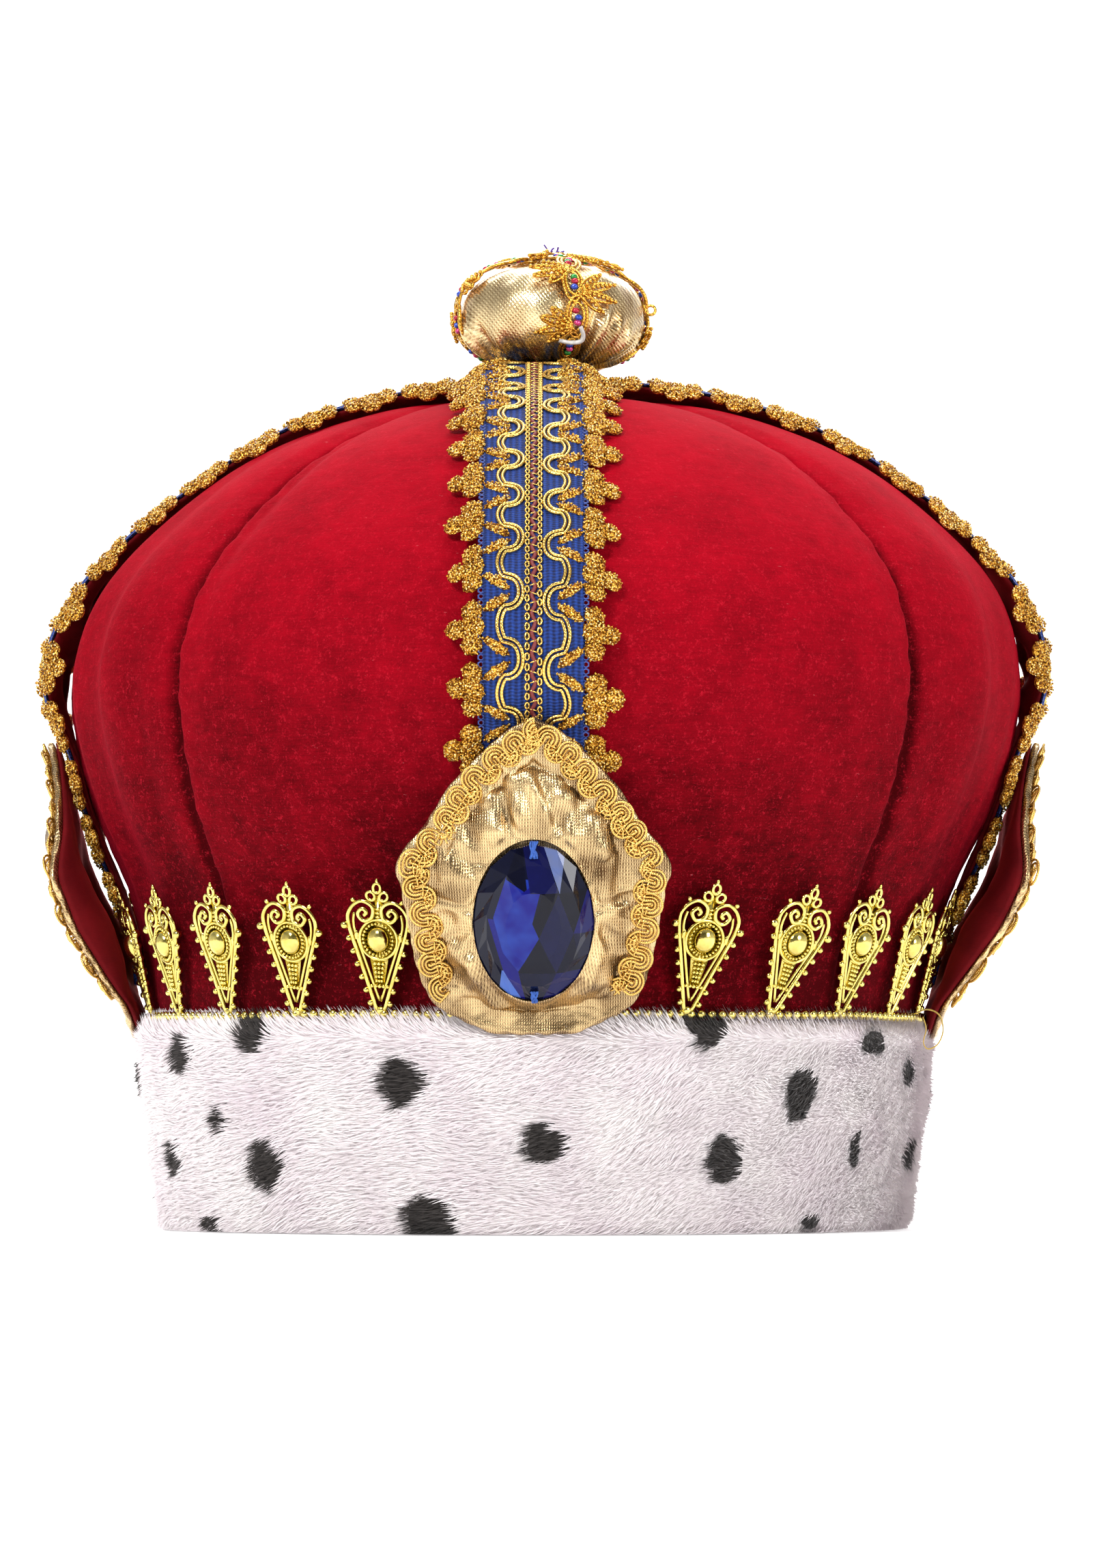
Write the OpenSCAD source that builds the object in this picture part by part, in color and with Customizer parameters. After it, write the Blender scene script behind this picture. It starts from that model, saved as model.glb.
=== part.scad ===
// Costume crown: a puffed velvet cap in a plush band, two lace straps that cross
// under a stuffed ball, four padded shields, the front one with an oval stone,
// and a filigree trim along the top of the band. Millimetres, +Z up, front to -Y.

/* [Band] */
// Height of the plush band
band_h = 53.5; // [50:0.5:57]
// Outer radius of the band at its foot
band_foot_r = 97.6; // [95:0.2:99]
// Outer radius of the band at its top edge
band_top_r = 103.7; // [103:0.1:104]
// Thickness of the band, backing and pile together
band_wall = 6.4; // [6:0.1:7]
// Rounding of the pile at the top and bottom edges
band_round = 4.5; // [3:0.1:5]

/* [Cap] */
// Widest radius of the cap along its seams
cap_r = 122.6; // [120:0.2:123]
// Height of the cap above the band
cap_h = 162; // [156:0.5:164]
// Thickness of the velvet and its backing
cap_wall = 2; // [1.5:0.1:3]
// How far a panel swells above its seams
panel_puff = 3.4; // [2:0.1:4]

/* [Straps] */
// Width of the woven braid without its lace edging
braid_w = 25; // [22:0.5:27]
// Reach of a lace trefoil beyond the braid
trefoil_reach = 9; // [6:0.5:10]
// Length of braid that one trefoil takes
trefoil_pitch = 16; // [14:0.5:18]
// Thickness of the braid
braid_t = 1.8; // [1.4:0.1:2]
// Thickness of the satin under the braid
satin_t = 0.8; // [0.6:0.1:1]

/* [Shields] */
// Half the width of a shield across its corners
shield_w = 33.4; // [30:0.2:34]
// Thickness of a shield at its edge
shield_edge = 2.2; // [2:0.1:2.6]
// Width of the scroll braid sewn round a shield
gimp_w = 8; // [6:0.2:8.4]
// Thickness of that scroll braid
gimp_t = 2.2; // [1.6:0.1:2.6]
// Width of the oval stone
stone_w = 30; // [26:0.5:30]
// Height of the oval stone
stone_h = 40; // [36:0.5:40]
// Thickness of the oval stone
stone_t = 6.6; // [5:0.1:7]
// Lean of the stone from upright, in degrees
stone_lean = 17; // [15:0.5:18]

/* [Ball] */
// Radius of the stuffed ball, seen from above
ball_r = 24.7; // [22:0.1:26]
// Height of the stuffed ball
ball_h = 27.8; // [26:0.2:31]
// Shift of the ball to the right of the crossing
ball_shift = 4.6; // [0:0.1:5]

/* [Filigree] */
// Number of drops between two shields
drops = 5; // [3:1:5]
// Angle of the first drop from the front or the back, in degrees
first_drop = 22; // [21.5:0.1:22.5]
// Angle from one drop to the next, in degrees
drop_step = 13.7; // [12:0.1:13.8]
// Lean of a drop from upright, in degrees
drop_lean = 16; // [15.8:0.1:17]
// Thickness of a drop
drop_t = 1.2; // [1:0.1:1.3]
// Thickness of the cord of beads that carries the drops
cord_t = 2.5; // [2:0.1:2.6]

/* [Hidden] */

velvet = "#A3082A";
gold_lame = "#C9A45C";
gold_cord = "#C08A2A";
gold_plate = "#C7AC2E";
plush = "#EDE9EA";
braid_blue = "#2A48A0";
satin_red = "#6E0F1C";
stone_blue = "#121B78";

// Gap between neighbouring pieces
gap = 0.3;
seat_z = band_h + gap;
// Distance that stands for a step when a direction is measured
tiny = 0.001;

// The soft upper part leans to the right.
// Columns: height above the band, shift
SWAY = [[0, 0], [10, 0.1], [30, 1.4], [70, 2.4], [92, 2.8], [118, 4.2], [140, 4.6], [180, 4.6]];
// Side that a shield is sewn to: 1 for the right, -1 for the left, 0 for front and back
$side = 0;

// Width of the dent that each shield's foot presses into the plush
dent_w = 44;
// Distance that a cut runs past what it cuts
spare = 5;

// The cap's outline along a seam, from the band to the top.
// Columns: share of cap_r, share of cap_h
CAP_LINE = [
    [0.809, 0.000], [0.835, 0.100], [0.880, 0.216], [0.950, 0.335], [0.995, 0.460], [0.999, 0.570],
    [0.945, 0.685], [0.820, 0.790], [0.640, 0.890], [0.400, 0.965], [0.160, 0.995], [0.000, 1.000]];
cap_rows = 16;
cap_lining_rows = 8;
cap_columns = 80;
// Angles of the seams from the front; every other one lies under a strap
SEAMS = [0, 49.5, 90, 135, 180, 225, 270, 310.5, 360];
// Degrees from a seam over which the cloth climbs out of it
seam_width = 6;
// Share of a panel's swelling that it climbs there, the rest rising to its middle
seam_climb = 0.45;
// Share of the run over which the folds fade in above the band
fold_fade = 0.1;
// Swelling of the panels from the band to the top.
// Columns: share of the run, share of panel_puff
PUFF = [[0, 0], [0.1, 0.15], [0.25, 0.3], [0.4, 0.85], [0.5, 1], [0.75, 0.95], [0.88, 0.6], [1, 0]];
// Folds of the cloth that run up the sides.
// Columns: angle from the front, width in degrees, share of the run at the
// middle, half length as a share, height in mm
FOLDS = [
    [-69, 5, 0.42, 0.30, -1.7], [-80, 5, 0.36, 0.25, -1.2], [-61, 4, 0.38, 0.24, 0.9],
    [70, 5, 0.36, 0.22, -1.9], [62, 5, 0.40, 0.22, 1.1], [78, 4, 0.28, 0.16, -1.3],
    [112, 5, 0.40, 0.26, -1.6], [-113, 5, 0.38, 0.26, -1.6], [158, 5, 0.34, 0.2, -1.2],
    [-27, 14, 0.17, 0.07, -1.5], [-30, 15, 0.26, 0.07, 1.1], [26, 12, 0.15, 0.06, -1.1],
    [152, 13, 0.18, 0.07, -1.4], [-150, 13, 0.20, 0.07, -1.2]];

// Underside of a strap, from its foot to the crown's axis.
// Columns: radius, height above the band
STRAP_LINE = [
    [102.4, 10.5], [104.9, 22.5], [109.4, 34.5], [114.5, 46.5], [118.8, 58.5], [121.2, 67.5],
    [123.8, 74.3], [127.3, 80.5], [129.4, 87.5], [129.4, 94.5], [128.0, 100.5], [125.0, 107.5],
    [119.2, 116.0], [112.0, 123.5], [102.6, 132.0], [91.0, 140.5], [78.5, 149.0], [65.5, 155.8],
    [52.0, 160.4], [38.0, 163.8], [24.0, 165.8], [12.0, 166.2], [0.0, 166.3]];
// Where the front to back strap climbs to pass over the other: radii from the axis
climb_from = 50;
climb_to = 24;
strap_steps = 150;
braid_low = satin_t + gap;
strap_t = braid_low + braid_t;
// The lace stops here, where the shields hide the straps
lace_from = band_h + 36;
sections_per_trefoil = 6;
// Reach of a trefoil's outline through one pitch, as shares of trefoil_reach
TREFOIL = [0.04, 0.50, 0.66, 1.0, 0.66, 0.50];

// Back of a shield, from its foot to its tip.
// Columns: radius from the crown's axis, height above the band
SHIELD_BACK = [
    [103.2, -4.5], [103.3, 3.5], [105.4, 7.5], [108.9, 13], [112.4, 18.5], [115.9, 24],
    [118.6, 30.5], [120.8, 37], [121.8, 44], [122.4, 51], [124.0, 59], [126.2, 67], [128.8, 74.5]];
// Outline of the right half of a shield, from its foot to its tip.
// Columns: share of shield_w, height above the band
SHIELD_EDGE = [
    [0, -3.9], [0.30, -3.3], [0.58, 0.5], [0.76, 5], [0.86, 12.5], [0.92, 22], [0.97, 31],
    [1.0, 38.5], [0.79, 48.5], [0.59, 58], [0.27, 68.5], [0, 74.3]];
// Rings of a plain padded front, from its edge to its middle.
// Columns: share of the outline, rise above the edge
PLAIN_RINGS = [[1, 0], [0.87, 0.1], [0.73, 0.1], [0.58, 1.4], [0.38, 3.2]];
// Rise of its very middle above the edge
middle_rise = 3.8;
// Rings of a shield's back, as shares of the outline
BACK_RINGS = [0.25, 0.5, 0.75, 1];
plain_middle_z = band_h + 41;
// Rings of the front under the stone, from its edge to the stone.
// Columns: share of the outline, share of the stone's oval
SEAT_RINGS = [[1.00, 0.0], [0.88, 0.0], [0.74, 0.0], [0.62, 0.3], [0.5, 1.0]];
stone_z = band_h + 23.9;
// Radius from the crown's axis to the back of the stone, at its middle
stone_back_r = 119.6;
// The satin starts above the feet of the straps
satin_from = band_h + 11;

// Radius of the cord of beads, and its height
filigree_r = 101.6;
filigree_z = seat_z + cord_t / 2;
// Top of the two straps where they cross
cross_z = band_h + STRAP_LINE[len(STRAP_LINE) - 1][1] + 2 * (strap_t + gap);
ball_z = cross_z + gap;

function mix(a, b, k) = a + (b - a) * k;
function ease(k) = k <= 0 ? 0 : k >= 1 ? 1 : k * k * (3 - 2 * k);

// A smooth curve through a table's rows, at a share of the way along it
function curve(rows, share) =
    let (last = len(rows) - 1, at = min(share * last, last - tiny),
        i = floor(at), k = at - i,
        a = rows[max(i - 1, 0)], b = rows[i], c = rows[i + 1], d = rows[min(i + 2, last)])
    0.5 * (2 * b + (c - a) * k + (2 * a - 5 * b + 4 * c - d) * k * k
        + (3 * b - a - 3 * c + d) * k * k * k);

// Shift of the upper part to the right at a height
function sway(z) = lookup(z - band_h, SWAY);

// A column of a table against its first column, read between rows
function column(rows, key, c) = lookup(key, [for (row = rows) [row[0], row[c]]]);

// A solid between two end points, through rings of equally many points
module blob(first, rings, last) {
    n = len(rings[0]);
    flat = [for (ring = rings) each ring];
    end = len(flat) + 1;
    polyhedron(concat([first], flat, [last]), concat(
        [for (i = [0 : n - 1]) [0, 1 + i, 1 + (i + 1) % n]],
        [for (j = [0 : len(rings) - 2], i = [0 : n - 1])
            let (a = 1 + j * n, b = a + n, k = (i + 1) % n)
            each [[a + i, b + i, b + k], [a + i, b + k, a + k]]],
        [for (i = [0 : n - 1])
            let (a = end - n, k = (i + 1) % n) [a + k, a + i, end]]), convexity = 6);
}

// A solid strip through rings of four points
module strip(rings) {
    flat = [for (ring = rings) each ring];
    end = len(flat) - 4;
    polyhedron(flat, concat(
        [[0, 1, 2], [0, 2, 3]],
        [for (j = [0 : len(rings) - 2], i = [0 : 3])
            let (a = 4 * j, b = a + 4, k = (i + 1) % 4)
            each [[a + i, b + i, b + k], [a + i, b + k, a + k]]],
        [[end + 2, end + 1, end], [end + 3, end + 2, end]]), convexity = 8);
}

// The point [radius, height] on a seam of the cap
function seam(share) =
    let (p = curve(CAP_LINE, share))
    [max(p[0], 0) * cap_r, seat_z + p[1] * cap_h];

// The direction square to the seam, outwards
function seam_normal(share) =
    let (d = seam(min(share + tiny, 1)) - seam(max(share - tiny, 0)), n = norm(d))
    [d[1] / n, -d[0] / n];

// How far the cloth stands off the seam's level
function swell(angle, share) =
    let (right = search_up(angle, 1), start = SEAMS[right - 1], end = SEAMS[right],
        off = min(angle - start, end - angle),
        rise = mix(sin(180 * off / (end - start)), ease(off / seam_width), seam_climb))
    panel_puff * lookup(share, PUFF) * rise
        + ease(share / fold_fade) * sum_folds(angle, share, len(FOLDS) - 1);

// The first seam from number i on that lies beyond an angle
function search_up(angle, i) = angle < SEAMS[i] ? i : search_up(angle, i + 1);

function sum_folds(angle, share, i) = i < 0 ? 0 :
    let (f = FOLDS[i], turn = (angle - f[0] + 540) % 360 - 180,
        across = turn / f[1], along = (share - f[2]) / f[3])
    f[4] * exp(-across * across - along * along) + sum_folds(angle, share, i - 1);

function cap_point(angle, share, depth) =
    let (p = seam(share) + seam_normal(share) * (swell(angle, share) - depth))
    [p[0] * sin(angle) + sway(p[1]), -p[0] * cos(angle), p[1]];

function cap_ring(share, depth) =
    [for (i = [0 : cap_columns - 1]) cap_point(i * 360 / cap_columns, share, depth)];

module velvet_cap() color(velvet)
    blob([sway(seat_z + cap_h), 0, seat_z + cap_h],
        concat(
            [for (j = [cap_rows - 1 : -1 : 0]) cap_ring(j / cap_rows, 0)],
            [for (j = [0 : cap_lining_rows - 1]) cap_rim(j / cap_lining_rows)]),
        [sway(seat_z + cap_h), 0, seat_z + cap_h - cap_wall]);

// A ring of the cap's inside, with its first one level with the outer rim
function cap_rim(share) = [for (p = cap_ring(share, cap_wall)) [p[0], p[1], max(p[2], seat_z)]];

module fur_band() color(plush) difference() {
    rotate_extrude($fn = 120) {
        foot = [band_foot_r - band_round, band_round];
        top = [band_top_r - band_round, band_h - band_round];
        slope = atan2(top[0] - foot[0], top[1] - foot[1]);
        out = band_round * [cos(slope), -sin(slope)];
        polygon([[band_foot_r - band_wall, 0], [foot[0], 0], foot + out, top + out,
            [top[0], band_h], [band_top_r - band_wall, band_h]]);
        translate(foot) circle(band_round, $fn = 60);
        translate(top) circle(band_round, $fn = 60);
    }
    for (angle = [0 : 90 : 270]) rotate([0, 0, angle])
        translate([-dent_w / 2, -band_top_r - spare, band_h + SHIELD_EDGE[0][1] - gap])
            cube([dent_w, band_top_r + spare - SHIELD_BACK[0][0] + gap, band_round + spare]);
}

// The underside of a strap; the one that goes over climbs near the axis
function strap_run(over) =
    [for (i = [0 : strap_steps])
        let (p = curve(STRAP_LINE, i / strap_steps), r = i == strap_steps ? 0 : p[0],
            climb = ease((climb_from - r) / (climb_from - climb_to)))
        [r, band_h + p[1] + over * climb * (strap_t + 2 * gap)]];

// Lengths along a list of points, one for each
function lengths(p) =
    [for (i = 0, s = 0; i < len(p); s = s + (i + 1 < len(p) ? norm(p[i + 1] - p[i]) : 0), i = i + 1) s];

// A run's points against their lengths, so that any length can be looked up
function by_length(p) = let (s = lengths(p)) [for (i = [0 : len(p) - 1]) [s[i], p[i][0], p[i][1]]];

// Place on a whole arch at a length from its left foot: [across, height]
function arch_place(rows, whole, s) =
    let (half = whole / 2, k = s <= half ? s : whole - s)
    [(s <= half ? -1 : 1) * column(rows, k, 1), column(rows, k, 2)];

// A ring of a strap at a length: four corners, from a low to a high face, with its half width
function arch_ring(rows, whole, s, low, high, half) =
    let (p = arch_place(rows, whole, s),
        d = arch_place(rows, whole, min(s + 0.5, whole)) - arch_place(rows, whole, max(s - 0.5, 0)),
        n = [-d[1], d[0]] / norm(d),
        a = p + n * low, b = p + n * high)
    [[a[0], -half, a[1]], [a[0], half, a[1]], [b[0], half, b[1]], [b[0], -half, b[1]]];

// The woven braid with its trefoil lace, over the whole arch
module braid(over) color(braid_blue) {
    rows = by_length(strap_run(over));
    whole = 2 * rows[len(rows) - 1][0];
    count = round(whole / trefoil_pitch) * sections_per_trefoil;
    strip([for (i = [0 : count])
        let (s = i * whole / count,
            reach = arch_place(rows, whole, s)[1] < lace_from ? 0 : TREFOIL[i % sections_per_trefoil],
            ring = arch_ring(rows, whole, s, braid_low, braid_low + braid_t,
                braid_w / 2 + trefoil_reach * reach))
        [for (c = ring) c + [(1 - over) * sway(c[2]), 0, 0]]]);
}

// The satin strip under the braid, over the whole arch
satin_steps = 90;
module strap_satin(over) color(satin_red) {
    rows = by_length(strap_run(over));
    whole = 2 * rows[len(rows) - 1][0];
    rings = [for (i = [0 : satin_steps]) arch_ring(rows, whole, i * whole / satin_steps, 0, satin_t, 1)];
    line = concat([for (r = rings) r[0]], [for (i = [satin_steps : -1 : 0]) rings[i][3]]);
    rotate([90, 0, 0]) linear_extrude(braid_w - 1, center = true)
        polygon([for (c = line) [c[0] + (1 - over) * sway(c[2]), c[2]]]);
}

ball_rows = 9;
ball_columns = 32;
// Squareness of the ball's outline from the side, where 2 is a plain ellipse
ball_square = 2.2;
// Gathers round the foot of the ball, their depth as a share, and where they end
gathers = 16;
gather_depth = 0.045;
gathers_end = 0.55;
// The ball's outline from the side: share of its radius at a share of its height
function ball_out(share) = pow(max(1 - pow(abs(2 * share - 1), ball_square), 0), 1 / ball_square);
// Radius and height of its plain outline, lifted off it by some distance
function ball_line(share, lift) =
    [(ball_r + lift) * ball_out(share), ball_z + ball_h * share + lift * (2 * share - 1)];
// A point of its gathered surface
function ball_point(angle, share) =
    let (p = ball_line(share, 0), fade = ease((gathers_end - share) / (1 - gathers_end)),
        r = p[0] * (1 - gather_depth * fade * (1 + cos(gathers * angle)) / 2))
    [ball_shift + r * sin(angle), -r * cos(angle), p[1]];

module ball() color(gold_lame)
    blob(ball_point(0, 1),
        [for (j = [ball_rows : -1 : 1])
            [for (i = [0 : ball_columns - 1])
                ball_point(i * 360 / ball_columns, (1 - cos(180 * j / (ball_rows + 1))) / 2)]],
        ball_point(0, 0));

// A beaded strip over the ball: its width between leaves, a leaf's reach, its thickness
trim_w = 5.2;
trim_leaf = 3.4;
trim_t = 1.4;
trim_gap = 0.5;
trim_steps = 36;
trim_leaves = 4.5;
// Share of the way up the ball, by angle, where the strip's ends lie
trim_low = 0.22;
// Share of the ball's height where one strip starts to climb over the other, and its run
trim_climb = 0.72;
trim_climb_run = 0.15;
// Angles of the two strips
trim_turns = [104, 8];
module ball_trim(over) color(gold_cord) {
    ring = [for (i = [0 : trim_steps])
        let (k = i / trim_steps, side = k < 0.5 ? -1 : 1,
            share = (1 - cos(180 * mix(trim_low, 1, 1 - abs(2 * k - 1)))) / 2,
            climb = over * ease((share - trim_climb) / trim_climb_run),
            lift = trim_gap + climb * (trim_t + trim_gap),
            p = ball_line(share, lift), q = ball_line(share, lift + trim_t),
            half = trim_w / 2 + trim_leaf * pow(sin(180 * trim_leaves * k), 2))
        [for (c = [[p, -1], [p, 1], [q, 1], [q, -1]]) [side * c[0][0], c[1] * half, c[0][1]]]];
    translate([ball_shift, 0, 0]) rotate([0, 0, trim_turns[over]]) strip(ring);
}

// One drop of the filigree, from its bead on the cord to the ring at its tip
drop_len = 35.3;
// Right half of the plate between its beaded edges.
// Columns: across, up
DROP_PLATE = [[1.1, 0], [8.5, 20.4], [6.8, 26.2], [2.4, 30.2]];
// Rings of the trefoil at the tip: across, up, radius
DROP_LOBE = [4.2, 22.6, 4.6];
DROP_RING = [2.4, 30.1, 1.9];
tip_r = 2.2;
// Beads down each edge, from the lowest to the highest
edge_beads = 8;
bead_r = 1.05;
LOW_BEAD = [1.5, 2.6];
HIGH_BEAD = [9.3, 22.8];
// Piercings: an eye in each lobe (across, up, radius), a leaf below it, and one at the foot
LOBE_EYE = [6.2, 22.9, 1.5];
LEAF_CUT = [[1.7, 9.2], [2.7, 8.6], [5.3, 14.8], [3.2, 13.2]];
FOOT_CUT = [[-1.2, 7.2], [1.2, 7.2], [0, 3.2]];
// The domed middle and its raised ring: height up the drop, radii, heights
dome_up = 18.2;
dome_r = 3.9;
dome_h = 1.6;
collar_r = 4.5;
collar_h = 0.6;
sunk = 0.2;
module drop() {
    translate([0, 0, -drop_t / 2]) linear_extrude(drop_t) difference() {
        union() {
            polygon(concat(DROP_PLATE, [for (i = [len(DROP_PLATE) - 1 : -1 : 0])
                [-DROP_PLATE[i][0], DROP_PLATE[i][1]]]));
            for (m = [-1, 1]) {
                translate([m * DROP_LOBE[0], DROP_LOBE[1]]) circle(DROP_LOBE[2], $fn = 40);
                translate([m * DROP_RING[0], DROP_RING[1]]) circle(DROP_RING[2], $fn = 24);
                for (i = [0 : edge_beads - 1])
                    let (p = mix(LOW_BEAD, HIGH_BEAD, i / (edge_beads - 1)))
                    translate([m * p[0], p[1]]) circle(bead_r, $fn = 20);
            }
            translate([0, drop_len - tip_r]) circle(tip_r, $fn = 24);
        }
        for (m = [-1, 1]) {
            translate([m * LOBE_EYE[0], LOBE_EYE[1]]) circle(LOBE_EYE[2], $fn = 20);
            polygon([for (p = LEAF_CUT) [m * p[0], p[1]]]);
        }
        polygon(FOOT_CUT);
    }
    // The sphere that makes the dome rises dome_h over a circle of dome_r
    ball = (pow(dome_r, 2) + pow(dome_h, 2)) / (2 * dome_h);
    translate([0, dome_up, drop_t / 2]) {
        difference() {
            translate([0, 0, -sunk]) cylinder(r = collar_r, h = collar_h + sunk, $fn = 40);
            cylinder(r = dome_r, h = collar_h + 1, $fn = 40);
        }
        intersection() {
            translate([0, 0, dome_h - ball]) sphere(ball, $fn = 48);
            translate([0, 0, -sunk]) cylinder(r = dome_r, h = dome_h + 1, $fn = 40);
        }
    }
}

// How far each front drop tips to the right in its own plane, in degrees: left of the shield, then right
DROP_TIPS = [[5, 8, 7, 6, 0], [9, 13, 11, 9, 4]];

module filigree_trim() color(gold_plate) {
    rotate_extrude($fn = 120) translate([filigree_r, filigree_z]) circle(cord_t / 2, $fn = 24);
    for (middle = [0, 180], side = [-1, 1], i = [0 : drops - 1])
        let (tip = middle == 0 ? DROP_TIPS[(side + 1) / 2][i] : 0)
        rotate([0, 0, middle + side * (first_drop + i * drop_step)])
            translate([0, -filigree_r, filigree_z]) rotate([90 + drop_lean, 0, 0]) rotate([0, 0, -tip]) drop();
}

// Radius of a shield's back at a height
function shield_back(z) = $side * sway(z)
    + lookup(z, [for (i = [0 : 48]) let (p = curve(SHIELD_BACK, i / 48)) [band_h + p[1], p[0]]]);

// The whole outline of a shield as [across, height], from its foot and round by the right
edge_steps = 22;
function shield_edge(i) =
    let (half = edge_steps / 2, k = i % edge_steps, m = k <= half ? 1 : -1,
        p = curve(SHIELD_EDGE, (k <= half ? k : edge_steps - k) / half))
    [m * max(p[0], 0) * shield_w, band_h + p[1]];

// Radius from the axis to the plane that the stone rests on, at a height
function stone_plane(z) = stone_back_r + (z - stone_z) * tan(stone_lean);

// The hollow that the stone sits in: its floor and its rim as shares of the stone's oval,
// the rim's rise over the stone's back, and how far the slope outside it has risen
floor_grow = 1.05;
rim_grow = 1.12;
rim_rise = 1.6;
slope_rise = 0.8;
// A point of the front under the stone, on a ring at step i
function seat_point(ring, i) =
    let (e = shield_edge(i), c = [0, stone_z],
        p = mix(c + (e - c) * ring[0], oval_point(i, rim_grow), ring[1]),
        edge = shield_back(p[1]) + shield_edge, rim = stone_plane(p[1]) + rim_rise,
        out = ring[1] == 0 ? edge : mix(edge, rim, ring[1] < 1 ? slope_rise : 1))
    [p[0], -out, p[1]];

// A point of the stone's oval in line with step i of the outline
function oval_point(i, grow) =
    let (e = shield_edge(i), a = atan2((e[1] - stone_z) / stone_h, e[0] / stone_w))
    [grow * stone_w / 2 * cos(a), stone_z + grow * stone_h / 2 * sin(a)];

// A ring of a shield drawn in towards a middle height, at a rise above the back
function shield_ring(scale, middle, rise) =
    [for (i = [0 : edge_steps - 1])
        let (e = shield_edge(i), z = mix(middle, e[1], scale)) [e[0] * scale, -shield_back(z) - rise, z]];

module shield() color(gold_lame)
    blob([0, -shield_back(plain_middle_z), plain_middle_z],
        concat(
            [for (scale = BACK_RINGS) shield_ring(scale, plain_middle_z, 0)],
            [for (ring = PLAIN_RINGS) shield_ring(ring[0], plain_middle_z, shield_edge + ring[1])]),
        [0, -shield_back(plain_middle_z) - shield_edge - middle_rise, plain_middle_z]);

// The front shield: its rings run from the floor of the stone's hollow to the back
module stone_shield() color(gold_lame) {
    backwards = [for (i = [edge_steps - 1 : -1 : 0]) i];
    blob([0, -stone_plane(stone_z) + gap, stone_z],
        concat(
            [[for (i = backwards) let (p = oval_point(i, floor_grow)) [p[0], -stone_plane(p[1]) + gap, p[1]]]],
            [for (j = [len(SEAT_RINGS) - 1 : -1 : 0]) [for (i = backwards) seat_point(SEAT_RINGS[j], i)]],
            [for (j = [len(BACK_RINGS) - 1 : -1 : 0])
                let (ring = shield_ring(BACK_RINGS[j], stone_z, 0)) [for (i = backwards) ring[i]]]),
        [0, -shield_back(stone_z), stone_z]);
}

// The satin that backs a shield, a little smaller all round
satin_gap = 0.85;
backing_steps = 20;
backing_share = 0.975;
module shield_satin() color(satin_red) {
    tip_z = band_h + SHIELD_BACK[len(SHIELD_BACK) - 1][1];
    face = [for (i = [0 : backing_steps])
        let (z = mix(satin_from, tip_z, i / backing_steps)) [satin_gap - shield_back(z), z]];
    intersection() {
        rotate([90, 0, 90]) linear_extrude(2 * shield_w, center = true) polygon(concat(
            [for (p = face) p + [satin_t, 0]],
            [for (i = [backing_steps : -1 : 0]) face[i]]));
        rotate([90, 0, 0]) linear_extrude(2 * cap_r)
            polygon([for (i = [0 : edge_steps - 1]) mix([0, stone_z], shield_edge(i), backing_share)]);
    }
}

// The scroll braid round a shield, open at the foot, with scalloped edges
gimp_steps = 44;
// Clearance over the padding that it is sewn to
gimp_low = 1;
// Share of the outline where it starts, and its distance from the outline there
gimp_from = 0.12;
gimp_inset = 0.9;
gimp_scallops = 11;
scallop = 0.6;
// Share of the outline on each side of a point that its direction is measured over
reach = 0.02;
module gimp() color(gold_cord)
    strip([for (i = [0 : gimp_steps])
        let (share = mix(gimp_from, 1 - gimp_from, i / gimp_steps),
            e = edge_at(share), d = edge_at(share + reach) - edge_at(share - reach),
            inward = [-d[1], d[0]] / norm(d), wave = scallop * cos(360 * gimp_scallops * i / gimp_steps),
            a = e + inward * (gimp_inset - wave), b = e + inward * (gimp_w + wave), low = gimp_low)
        [for (c = [[a, low], [b, low], [b, low + gimp_t], [a, low + gimp_t]])
            [c[0][0], -shield_back(c[0][1]) - shield_edge - c[1], c[0][1]]]]);

// The outline of a shield at any share of the way round
function edge_at(share) =
    let (k = share * edge_steps, i = floor(k)) mix(shield_edge(i), shield_edge(i + 1), k - i);

// A faceted oval stone with a flat back and two sewing holes
stone_sides = 16;
// Rows of facets from the back's edge to the flat table.
// Columns: share of the oval, share of stone_t, turn in sides
STONE_ROWS = [[1, 0, 0], [1, 0.2, 0], [0.78, 0.68, 0.5], [0.46, 1, 0]];
hole_r = 0.8;
hole_inset = 2.2;
module stone() color(stone_blue)
    translate([0, -stone_back_r, stone_z]) rotate([90 + stone_lean, 0, 0]) difference() {
        blob([0, 0, 0],
            [for (row = STONE_ROWS)
                [for (i = [0 : stone_sides - 1])
                    let (a = -(i + row[2]) * 360 / stone_sides)
                    [stone_w / 2 * row[0] * cos(a), stone_h / 2 * row[0] * sin(a), row[1] * stone_t]]],
            [0, 0, stone_t]);
        for (m = [-1, 1])
            translate([0, m * (stone_h / 2 - hole_inset), -1])
                cylinder(r = hole_r, h = stone_t + 2, $fn = 20);
    }

// A piece of one side, turned from the front by an angle
module at(angle) rotate([0, 0, angle]) children();

fur_band();
velvet_cap();
at(90) strap_satin(1);  // strap_satin_front_back
strap_satin(0);  // strap_satin_left_right
at(90) braid(1);  // braid_front_back
braid(0);  // braid_left_right
ball();
ball_trim(0);  // ball_trim_front_back
ball_trim(1);  // ball_trim_left_right
filigree_trim();
stone_shield();  // shield_front
at(90) shield($side = 1);  // shield_right
at(180) shield();  // shield_back
at(270) shield($side = -1);  // shield_left
shield_satin();  // shield_satin_front
at(90) shield_satin($side = 1);  // shield_satin_right
at(180) shield_satin();  // shield_satin_back
at(270) shield_satin($side = -1);  // shield_satin_left
gimp();  // gimp_front
at(90) gimp($side = 1);  // gimp_right
at(180) gimp();  // gimp_back
at(270) gimp($side = -1);  // gimp_left
stone();
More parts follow.
